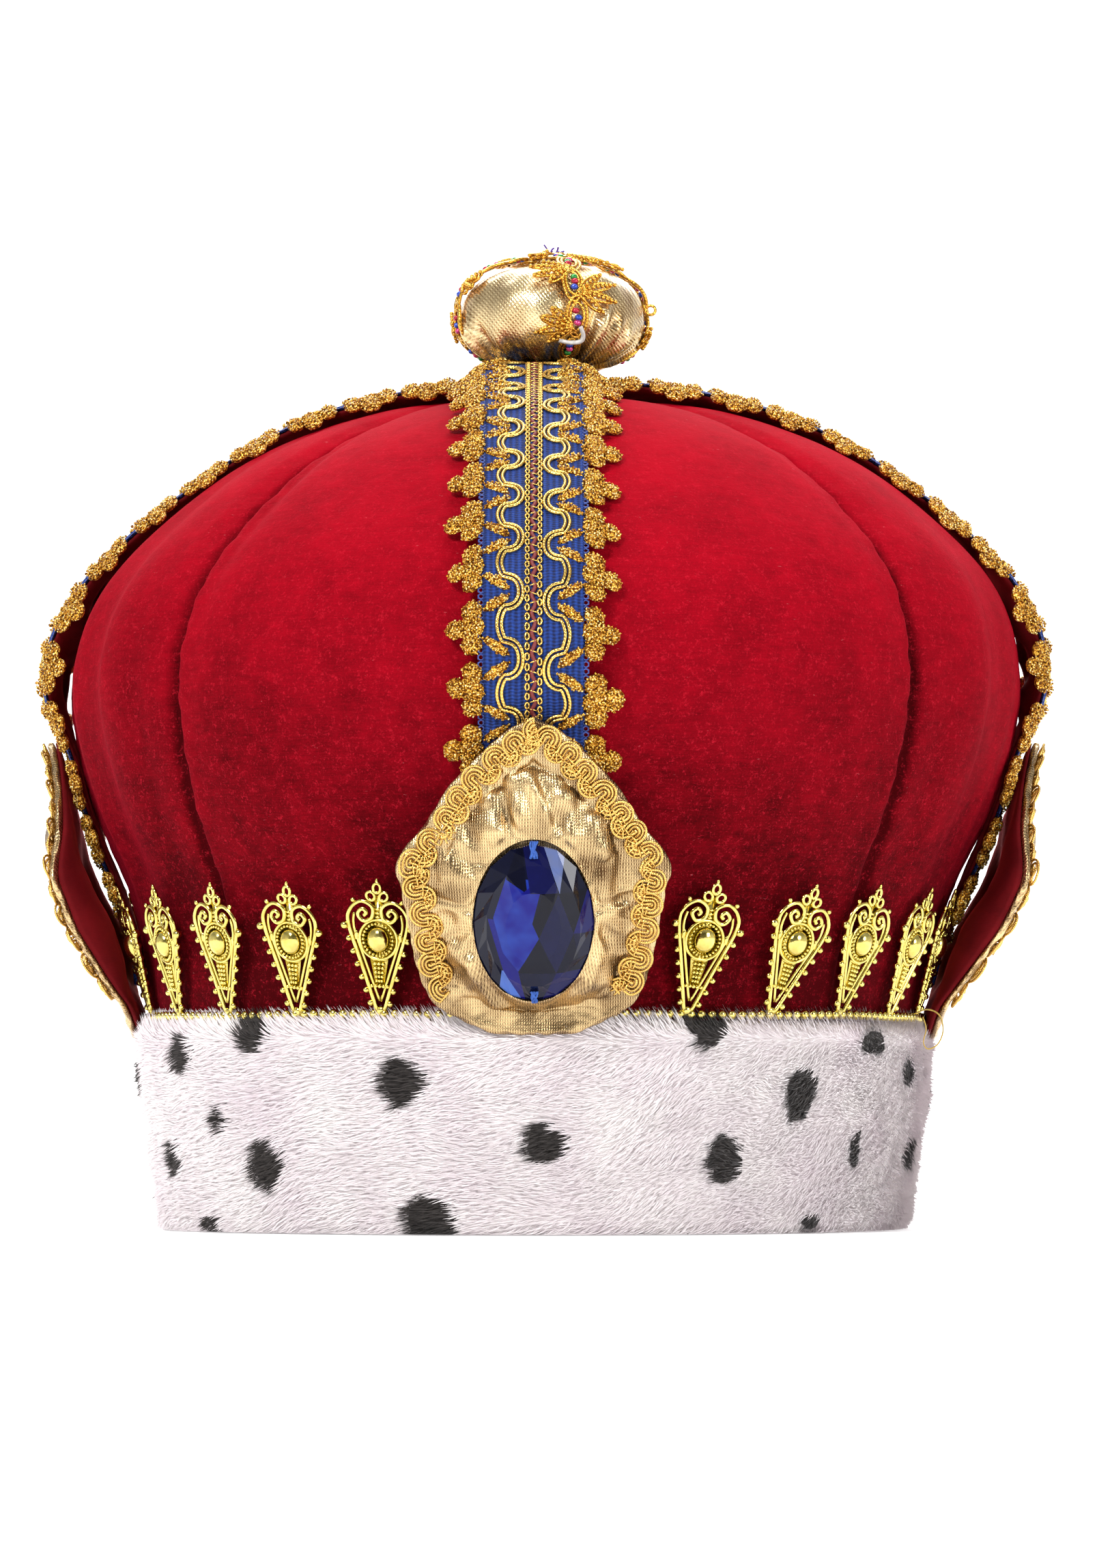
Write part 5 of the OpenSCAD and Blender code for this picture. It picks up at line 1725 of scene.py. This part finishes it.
@dataclass(frozen=True)
class BallTrim:
    """One trim over the ball: its name, its turn, its lift at the top and its leaves."""

    tag: str
    turn: int
    lift: float
    # Degrees over the ball, the side that the leaf points to, its length
    leaves: tuple


@dataclass
class StuffedBall:
    """The lame ball with its gathers and its two beaded cord trims."""

    crown: Crown
    radius: float = 24.7
    height: float = 27.8
    square: float = 2.3
    low_square: float = 2.7
    # Gathers at the foot: angle from the front, width in degrees, height up, depth
    gathers: tuple = (
        (-78, 3.2, 0.52, -1.6), (-69, 3.0, 0.56, 1.3), (-62, 2.6, 0.48, -1.5), (-56, 2.8, 0.54, 1.2),
        (-49, 2.6, 0.42, -1.4), (24, 2.6, 0.58, -1.7), (30, 2.8, 0.62, 1.4), (36, 2.6, 0.52, -1.5),
        (43, 2.8, 0.5, 1.2), (50, 2.6, 0.42, -1.3), (57, 2.6, 0.4, 1.0), (-38, 2.2, 0.32, 0.8),
        (-30, 2.2, 0.32, -0.9), (-18, 2.2, 0.26, 0.7), (2, 2.4, 0.28, -0.8), (66, 2.8, 0.4, -1.0),
        (78, 3, 0.44, -1.1), (-88, 3, 0.4, 1.0), (95, 3, 0.48, 1.0), (110, 3, 0.4, -1.1), (128, 3, 0.46, 1.0),
        (146, 3, 0.42, -1.1), (165, 3, 0.4, 1.0), (180, 3, 0.42, -1.1), (-165, 3, 0.4, 1.0),
        (-146, 3, 0.44, -1.1), (-125, 3, 0.42, 1.0), (-103, 3, 0.4, -1.1))
    trims: tuple = (
        BallTrim("front_back", 104, 0.0, ((-34, -1, 8.0), (-65, 1, 9.0), (-82, -1, 10.0), (-103, 1, 8.5),
                                          (30, 1, 8.0), (62, -1, 8.0), (95, 1, 7.5))),
        BallTrim("left_right", 13, 1.1, ((-98, 1, 6.5), (-72, -1, 6.0), (-40, 1, 6.5), (-18, -1, 6.5),
                                         (24, 1, 6.5), (48, -1, 6.5), (84, 1, 5.5), (104, -1, 5.5))))
    # Lean of each finger of a leaf, its share of the length
    fingers: tuple = ((-0.62, 0.75), (-0.2, 1.0), (0.22, 0.96), (0.64, 0.78))
    # The strand of glue on the front trim: degrees over the ball, across, above the cloth
    glue_rows: tuple = (
        (-103, -1.2, 1.9), (-108, -2.2, 1.6), (-112, -1.8, 1.6), (-113, 0.6, 1.6),
        (-112, 3.6, 1.3))

    @property
    def centre(self) -> Array:
        """The ball's middle."""
        return np.array([self.crown.ball_shift, 0, self.crown.ball_z + self.height / 2])

    def reach(self, way: Array) -> Array:
        """Distance from the middle to the plain surface along directions."""
        flat = np.linalg.norm(way[..., :2], axis=-1) / self.radius
        up = np.abs(way[..., 2]) / (self.height / 2)
        square = np.where(way[..., 2] < 0, self.low_square, self.square)
        return 1 / np.maximum(flat**square + up**square, 1e-9) ** (1 / square)

    def cloth(self, finish: Material) -> None:
        """Makes the stuffed ball: swollen, smoothed and gathered."""
        form = bead((0, 0, 0), (1, 1, 1), 30, 72)
        way = form.points[:, [1, 0, 2]] * [1, -1, 1]
        form.points = self.centre + way * (self.reach(way) * 0.985)[:, None]
        form.marks = {"across": form.points[:, 0], "up": form.points[:, 2]}
        held = (way[:, 2] < -0.8).astype(float)
        ball = subdivide(subdivide(inflate(form, held, 0.8, 2.0, 0.01).piece("stuffed_ball", finish)))
        settle(emboss(ball, self.folds), "gold_lame", "ball")

    def folds(self, points: Array) -> Array:
        """Height of the gathers."""
        rel = points - self.centre
        turn = np.degrees(np.arctan2(rel[:, 0], -rel[:, 1]))
        up = (points[:, 2] - self.crown.ball_z) / self.height
        total = 0.25 * ripple(points, 13, 71)
        for angle, width, top, depth in self.gathers:
            off = (turn - angle - 16 * (up - 0.1) * np.sign(angle) + 540) % 360 - 180
            total += depth * np.exp(-(off / (width * (1 + 0.8 * up))) ** 2) * ease((top - up) / 0.22)
        return total

    def on_ball(self, turn: float, local: Array) -> Array:
        """Places on a strip: degrees over the ball from one foot, across, above the cloth."""
        a = np.radians(local[:, 0])
        base = points_of(np.sin(a), 0, np.cos(a))
        phi = local[:, 1] / self.reach(base)
        way = base * np.cos(phi)[:, None] + points_of(0, np.sin(phi), 0)
        x, y, z = (way * (self.reach(way) + local[:, 2])[:, None]).T
        return self.centre + points_of(*turned(x, y, math.radians(turn)), z)

    def strip(self, weaver: Weaver, finishes: Finishes, trim: BallTrim) -> None:
        """Makes one trim: oval hoops of cord in a chain, leaves of four fingers, seed beads."""
        # Millimetres of the cord's run in one degree over the ball
        degree = math.radians(1) * 21
        paths, knobs, beads = [], [], {kind: [] for kind in SeedBead}
        kinds = list(SeedBead)
        chance = np.random.default_rng(trim.turn)

        def lay(along: Array, across: Array, rise: Number) -> Array:
            """Lays places on the ball, over the other trim at the top."""
            top = trim.lift * ease((16 - np.abs(along)) / 10)
            return self.on_ball(trim.turn, points_of(along, across, rise + top))

        def stud(kind: str, size: Sequence[float], at: Array, finish: Material) -> Piece:
            """Puts oval beads on the ball."""
            out = unit(at - self.centre)
            side = unit(np.cross(out, [0.1, 0.2, 1.0]))
            return weaver.strew(bead((0, 0, 0), size, 5, 8), at, out, side, f"{kind}_{trim.tag}", finish)

        a = np.linspace(0, ROUND, 23)
        for k, middle in enumerate(np.arange(-118.8, 119, 21.6)):
            way = (-1) ** k
            wide = 2.4 + 0.25 * (k % 2)
            paths += [lay(middle + 4.6 / degree * grow * np.cos(a), wide * grow * np.sin(a) + 0.4 * way,
                          0.9 + 0.2 * np.sin(3 * a)) for grow in (1.0, 0.66)]
            for j in range(3):
                beads[kinds[(k + j) % 4]].append((middle + (j - 1) * 3.6, 0.3 * way, 1.1))
        t = np.linspace(0, 1, 12)
        bow = np.sqrt(np.sin(np.pi * t)) * 0.9
        for middle, side, size in trim.leaves:
            for fan, share in self.fingers:
                there_and_back = np.concatenate([t, t[::-1]]) * size * share
                knots = np.arange(1.4, size * share + 0.6, 1.25)
                for kept, out, off, rise in ((paths, there_and_back, np.concatenate([bow, -bow]),
                                              1.0 + 0.25 * np.sin(there_and_back)), (knobs, knots, 0, 1.75)):
                    x, y = turned(off, out, -fan)
                    kept.append(lay(middle + x / degree, side * (0.8 + y), rise))
        knob = stud("knobs", (0.56, 0.62, 0.56), np.concatenate(knobs), finishes.fine_cord)
        cords = weaver.cords(paths, 0.44, f"trim_cords_{trim.tag}", finishes.fine_cord, 6)
        settle(join(f"beaded_trim_{trim.tag}", cords, knob), "gold_cord", f"ball_trim_{trim.tag}")
        for kind, places in beads.items():
            flat = np.array(places)
            flat[:, :2] += chance.uniform(-0.5, 0.5, (len(places), 2))
            name = f"seed_beads_{kind.name.lower()}"
            settle(stud(name, (1.05, 0.85, 0.8), lay(*flat.T), finishes.beads[kind]), "gold_cord")

    def build(self, weaver: Weaver, finishes: Finishes) -> None:
        """Makes the ball, its trims, and the loose ends and the glue on them."""
        self.cloth(finishes.ball_lame)
        for trim in self.trims:
            self.strip(weaver, finishes, trim)
        a = np.linspace(-2.6, 3.2, 20)
        loop = points_of(26.0 + 1.25 * np.cos(a), -1.5 + 0.2 * a, 1.0 + 1.25 * np.sin(a))
        loop = self.centre + np.concatenate([[[24.2, -1.5, 2.4]], loop])
        glue = self.on_ball(self.trims[0].turn, smooth_curve(self.glue_rows, 24))
        for name, paths, radius, finish, sides in (
                ("loose_loop", [loop], 0.42, finishes.fine_cord, 6),
                ("loose_threads", self.thread_ends(), 0.24, finishes.purple_thread, 4),
                ("white_glue", [glue], 0.62, finishes.glue, 6)):
            settle(weaver.cords(paths, radius, name, finish, sides), "gold_cord")

    def thread_ends(self) -> list[Array]:
        """Short ends of thread where the trims cross."""
        chance = np.random.default_rng(9)
        top = self.centre + [0, 0, self.height / 2 + 1.2]
        paths = []
        for _ in range(11):
            way = unit(chance.uniform((-1, -1, 0.15), (1, 0.3, 1.0)))
            t = np.linspace(0, chance.uniform(2.0, 3.8), 7)[:, None]
            paths.append(top + way * t + np.array([0.3, 0.1, -0.12]) * t**2 * chance.uniform(-0.4, 0.6))
        return paths


@dataclass
class GiltTrim:
    """The cord of beads and the pierced drops that stand on it."""

    crown: Crown
    drops: int = 5
    first: float = 22.0
    step: float = 13.7
    lean: float = 16.0
    radius: float = 101.6
    cord: float = 2.5
    # How far each front drop tips to the right, in degrees: left of the shield, then right
    tips: tuple = ((5, 8, 7, 6, 0), (9, 13, 11, 9, 4))
    # Right half of a drop's outer wire and of its inner one: across, up, out
    outer_wire: tuple = (
        (0.8, 0.3, 0), (4.6, 12.2, 0), (7.9, 22.6, 0.1), (7.4, 26.6, 0.2), (4.4, 28.9, 0.3),
        (1.4, 27.6, 0.3), (1.5, 24.9, 0.4), (3.7, 23.9, 0.5), (5.2, 25.6, 0.5), (4.0, 27.0, 0.5),
        (2.9, 26.1, 0.5), (3.6, 25.3, 0.5))
    inner_wire: tuple = ((0.2, 3.4, 0), (3.2, 12.0, 0), (6.4, 21.6, 0.1), (6.3, 25.8, 0.2))
    # Left half of the outline of the web behind the wires: across, up
    web_rim: tuple = ((-1.6, 25.6), (-3.6, 23.4), (-4.8, 19.2), (-2.4, 14.2), (-1.2, 7.6))
    # The loose loop of sewing thread at the right
    thread_rows: tuple = (
        (98.5, -31, 56.0), (101.5, -32, 57.0), (104.5, -33, 55.5), (105.4, -34, 51.5), (104.0, -34, 48.0),
        (101.5, -34, 46.8), (100.3, -34.5, 48.5), (101.0, -34.5, 52.0), (100.2, -34, 55.0))

    @property
    def cord_z(self) -> float:
        """Height of the cord of beads."""
        return self.crown.seat_z + self.cord / 2

    def web(self) -> Form:
        """The thin web behind the wires of a drop."""
        rim = [*self.web_rim, *((-x, y) for x, y in self.web_rim[::-1]), (1.0, 30.4), (-1.0, 30.4)]
        return Form.rings([np.array([(x, y, z) for x, y in rim]) for z in (-0.45, 0.1)], Ends.FLAT)

    def drop(self) -> Form:
        """One drop: wires that curl over, a domed middle in a ribbed ring, beads, loops and a stem."""
        parts = [self.web()]
        for m in (-1, 1):
            parts += [tube(smooth_curve(self.outer_wire, 60) * [m, 1, 1], 0.6, 6),
                      tube(smooth_curve(self.inner_wire, 14) * [m, 1, 1], 0.42, 5),
                      hoop((m * 1.75, 30.3, 0.15), 1.05, 0.5, 14, 6, 1.15, m * 0.7),
                      bead((m * 5.9, 20.0, 0.1), (0.7, 1.6, 0.5), 4, 6),
                      bead((m * 6.6, 29.0, 0.1), (0.75, 0.75, 0.6), 4, 6)]
            for k in range(7):
                x, y, size = mix(2.6, 9.0, k / 6), mix(2.8, 22.4, k / 6), 1.2 if k == 6 else 0.92
                parts.append(bead((m * x, y, 0.15), (size, size, size), 5, 8))
        parts += [hoop((0, 32.4, 0.15), 1.0, 0.5, 14, 6, 1.25, math.pi / 2),
                  hoop((0, 19.2, 0.2), 5.05, 0.48, 36, 5), bead((0, 34.2, 0.1), (0.5, 0.9, 0.45), 5, 6),
                  bead((0, 19.2, 0.1), (3.0, 3.4, 2.3), 12, 28), bead((0, 14.2, 0.0), (2.9, 0.8, 0.5), 4, 8),
                  bead((0, 0.6, 0), (1.5, 1.5, 0.75), 5, 8)]
        parts += [bead((0, 25.0 + k, 0.2), (0.85, 0.42, 0.5), 4, 6) for k in range(3)]
        parts += [bead((4.0 * math.cos(a), 19.2 + 4.1 * math.sin(a), 0.45), (0.46, 0.46, 0.5), 4, 5)
                  for a in np.arange(26) * ROUND / 26]
        for k in range(5):
            wide, y = mix(0.55, 0.9, k / 4), mix(8.6, 13.0, k / 4)
            parts += [bead((column * wide * 1.25, y, 0.3), (wide * 0.75, 0.52, 0.55), 4, 6)
                      for column in (-1, 0, 1)]
            parts.append(bead(((k - 2) * 1.05, 7.2, 0.2), (0.62, 0.62, 0.62), 4, 6))
        return Form.joined([Form(p.points, p.faces) for p in parts])

    def build(self, weaver: Weaver, finishes: Finishes) -> None:
        """Makes the drops, the beads and the loose thread."""
        a = np.radians([middle + side * (self.first + i * self.step)
                        for middle in (0, 180) for side in (-1, 1) for i in range(self.drops)])
        chance = np.random.default_rng(12)
        tip = np.radians(np.concatenate([np.ravel(self.tips), np.zeros(2 * self.drops)]))[:, None]
        lean = np.radians(self.lean + chance.uniform(-1.2, 1.2, (len(a), 1)))
        face = outward(a) * np.cos(lean) - UPRIGHT * np.sin(lean)
        right = outward(a + math.pi / 2) + UPRIGHT * chance.uniform(-0.02, 0.02, (len(a), 1))
        right = right * np.cos(tip) - np.cross(face, right) * np.sin(tip)
        at = outward(a) * self.radius + UPRIGHT * self.cord_z
        drops = weaver.strew(self.drop(), at, face, right, "gilt_drops", finishes.gilt)
        settle(drops, "gilt_plastic", "filigree_trim")
        turn = np.radians(np.arange(0, 360, 1.62))
        line = outward(turn) * self.radius + points_of(0, 0, self.cord_z + 0.15 * np.sin(turn * 9))
        unit_bead = bead((0, 0, 0), (1.28, 1.28, 1.28), 5, 8)
        beads = weaver.strew(unit_bead, line, UPRIGHT, outward(turn), "bead_cord", finishes.gilt)
        settle(beads, "gilt_plastic")
        thread = smooth_curve(self.thread_rows, 50)
        settle(weaver.cords([thread], 0.2, "stray_thread", finishes.yellow_thread, 4), "gilt_plastic")


@dataclass
class Studio:
    """The camera, a pale floor that sweeps up behind, and soft light."""

    lens: float = 166.2
    sensor: float = 36.0
    place: tuple = (0.0037, -1.9, 0.032)
    tilt: float = 2.55
    # Height that the lights face
    aim: float = 0.12
    # Name, place, size, power
    lights: tuple = (("key", (-0.9, -1.5, 1.35), 0.6, 38.0), ("fill", (1.4, -1.3, 0.7), 0.7, 18.0),
                     ("top", (0.1, 0.2, 1.7), 0.9, 14.0), ("back", (0.0, 1.6, 1.2), 1.6, 30.0))
    # Height on the sky from 0 at eye level to 1 overhead, colour
    sky: tuple = ((0.0, (0.85, 0.85, 0.86)), (0.25, (0.62, 0.62, 0.63)), (0.5, (0.3, 0.3, 0.31)),
                  (1.0, (0.5, 0.5, 0.51)))

    def camera(self) -> None:
        """Makes the camera at the photograph's angle."""
        data = bpy.data.cameras.new("view")
        data.lens, data.sensor_width = self.lens, self.sensor
        camera = show("view", data)
        camera.location = self.place
        camera.rotation_euler = (math.radians(90 + self.tilt), 0, 0)
        bpy.context.scene.camera = camera

    def floor(self) -> None:
        """Makes the floor and its sweep."""
        s = Surface("pale_floor", Specular_IOR_Level=0.1, Emission_Color=(1, 1, 1), Emission_Strength=0.32)
        cloud = s.noise(s.place(), 0.004, 2)
        material = s.dress(s.blend(cloud, (0.9, 0.9, 0.9), (0.94, 0.94, 0.94)), 0.85)
        turns = np.linspace(0.15, math.pi / 2, 10)
        bend = [(1500 + 900 * math.sin(k), 900 - 900 * math.cos(k)) for k in turns]
        profile = [(-3200, 0), (1500, 0), *bend, (2400, 3200)]
        points = np.array([(x, y, z - 0.2) for y, z in profile for x in np.linspace(-4000, 4000, 3)])
        Form(points, grid_faces(len(profile), 3)).piece("floor", material)

    def light(self, name: str, place: tuple, size: float, power: float) -> None:
        """Makes one soft light that faces the crown."""
        data = bpy.data.lights.new(name, "AREA")
        data.shape, data.size, data.energy = "DISK", size, power
        lamp = show(name, data)
        lamp.location = place
        lamp.rotation_euler = (Vector((0, 0, self.aim)) - Vector(place)).to_track_quat("-Z", "Y").to_euler()

    def world(self) -> None:
        """A room that is pale at eye level and darker overhead."""
        world = bpy.data.worlds.new("studio")
        world.use_nodes = True
        bpy.context.scene.world = world
        maker = NodeMaker(world.node_tree)
        at = maker.node("ShaderNodeTexCoord").outputs["Generated"]
        parts = maker.node("ShaderNodeSeparateXYZ", None, {0: at}).outputs
        ramp = maker.node("ShaderNodeValToRGB", {"stops": self.sky}, {0: parts["Z"]})
        strength = 1.05 - (Value(maker, parts["Y"]) * -1).over(0.5, 0.85) * 0.75
        back = maker.node("ShaderNodeBackground", None, {"Color": ramp.outputs[0], "Strength": strength})
        maker.node("ShaderNodeOutputWorld", None, {0: back.outputs[0]})

    def build(self) -> None:
        """Sets up the studio."""
        self.camera()
        self.floor()
        self.world()
        bpy.context.scene.view_settings.view_transform = "Standard"
        for row in self.lights:
            self.light(*row)


def main() -> None:
    """Dresses the crown, sub-assembly by sub-assembly."""
    logging.basicConfig(level=logging.INFO, format="%(message)s", stream=sys.stdout)
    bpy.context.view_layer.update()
    Studio().build()
    crown, weaver, finishes = Crown(), Weaver(), Finishes()
    for name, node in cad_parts.items():
        if "satin" in name:
            for slot in node.material_slots:
                slot.material = finishes.satin
    cap = VelvetCap(crown)
    cap.build(finishes.velvet)
    PlushBand(crown).build(weaver, finishes.plush)
    for strap in (LaceStrap(crown, cap, "front_back", 1, 36), LaceStrap(crown, cap, "left_right", 0, 24)):
        strap.build(weaver, finishes)
    for side in Side:
        Shield(crown, side).build(weaver, finishes)
    FacetedStone(Shield(crown, Side.FRONT)).build(weaver, finishes)
    StuffedBall(crown).build(weaver, finishes)
    GiltTrim(crown).build(weaver, finishes)


if __name__ == "__main__":
    main()
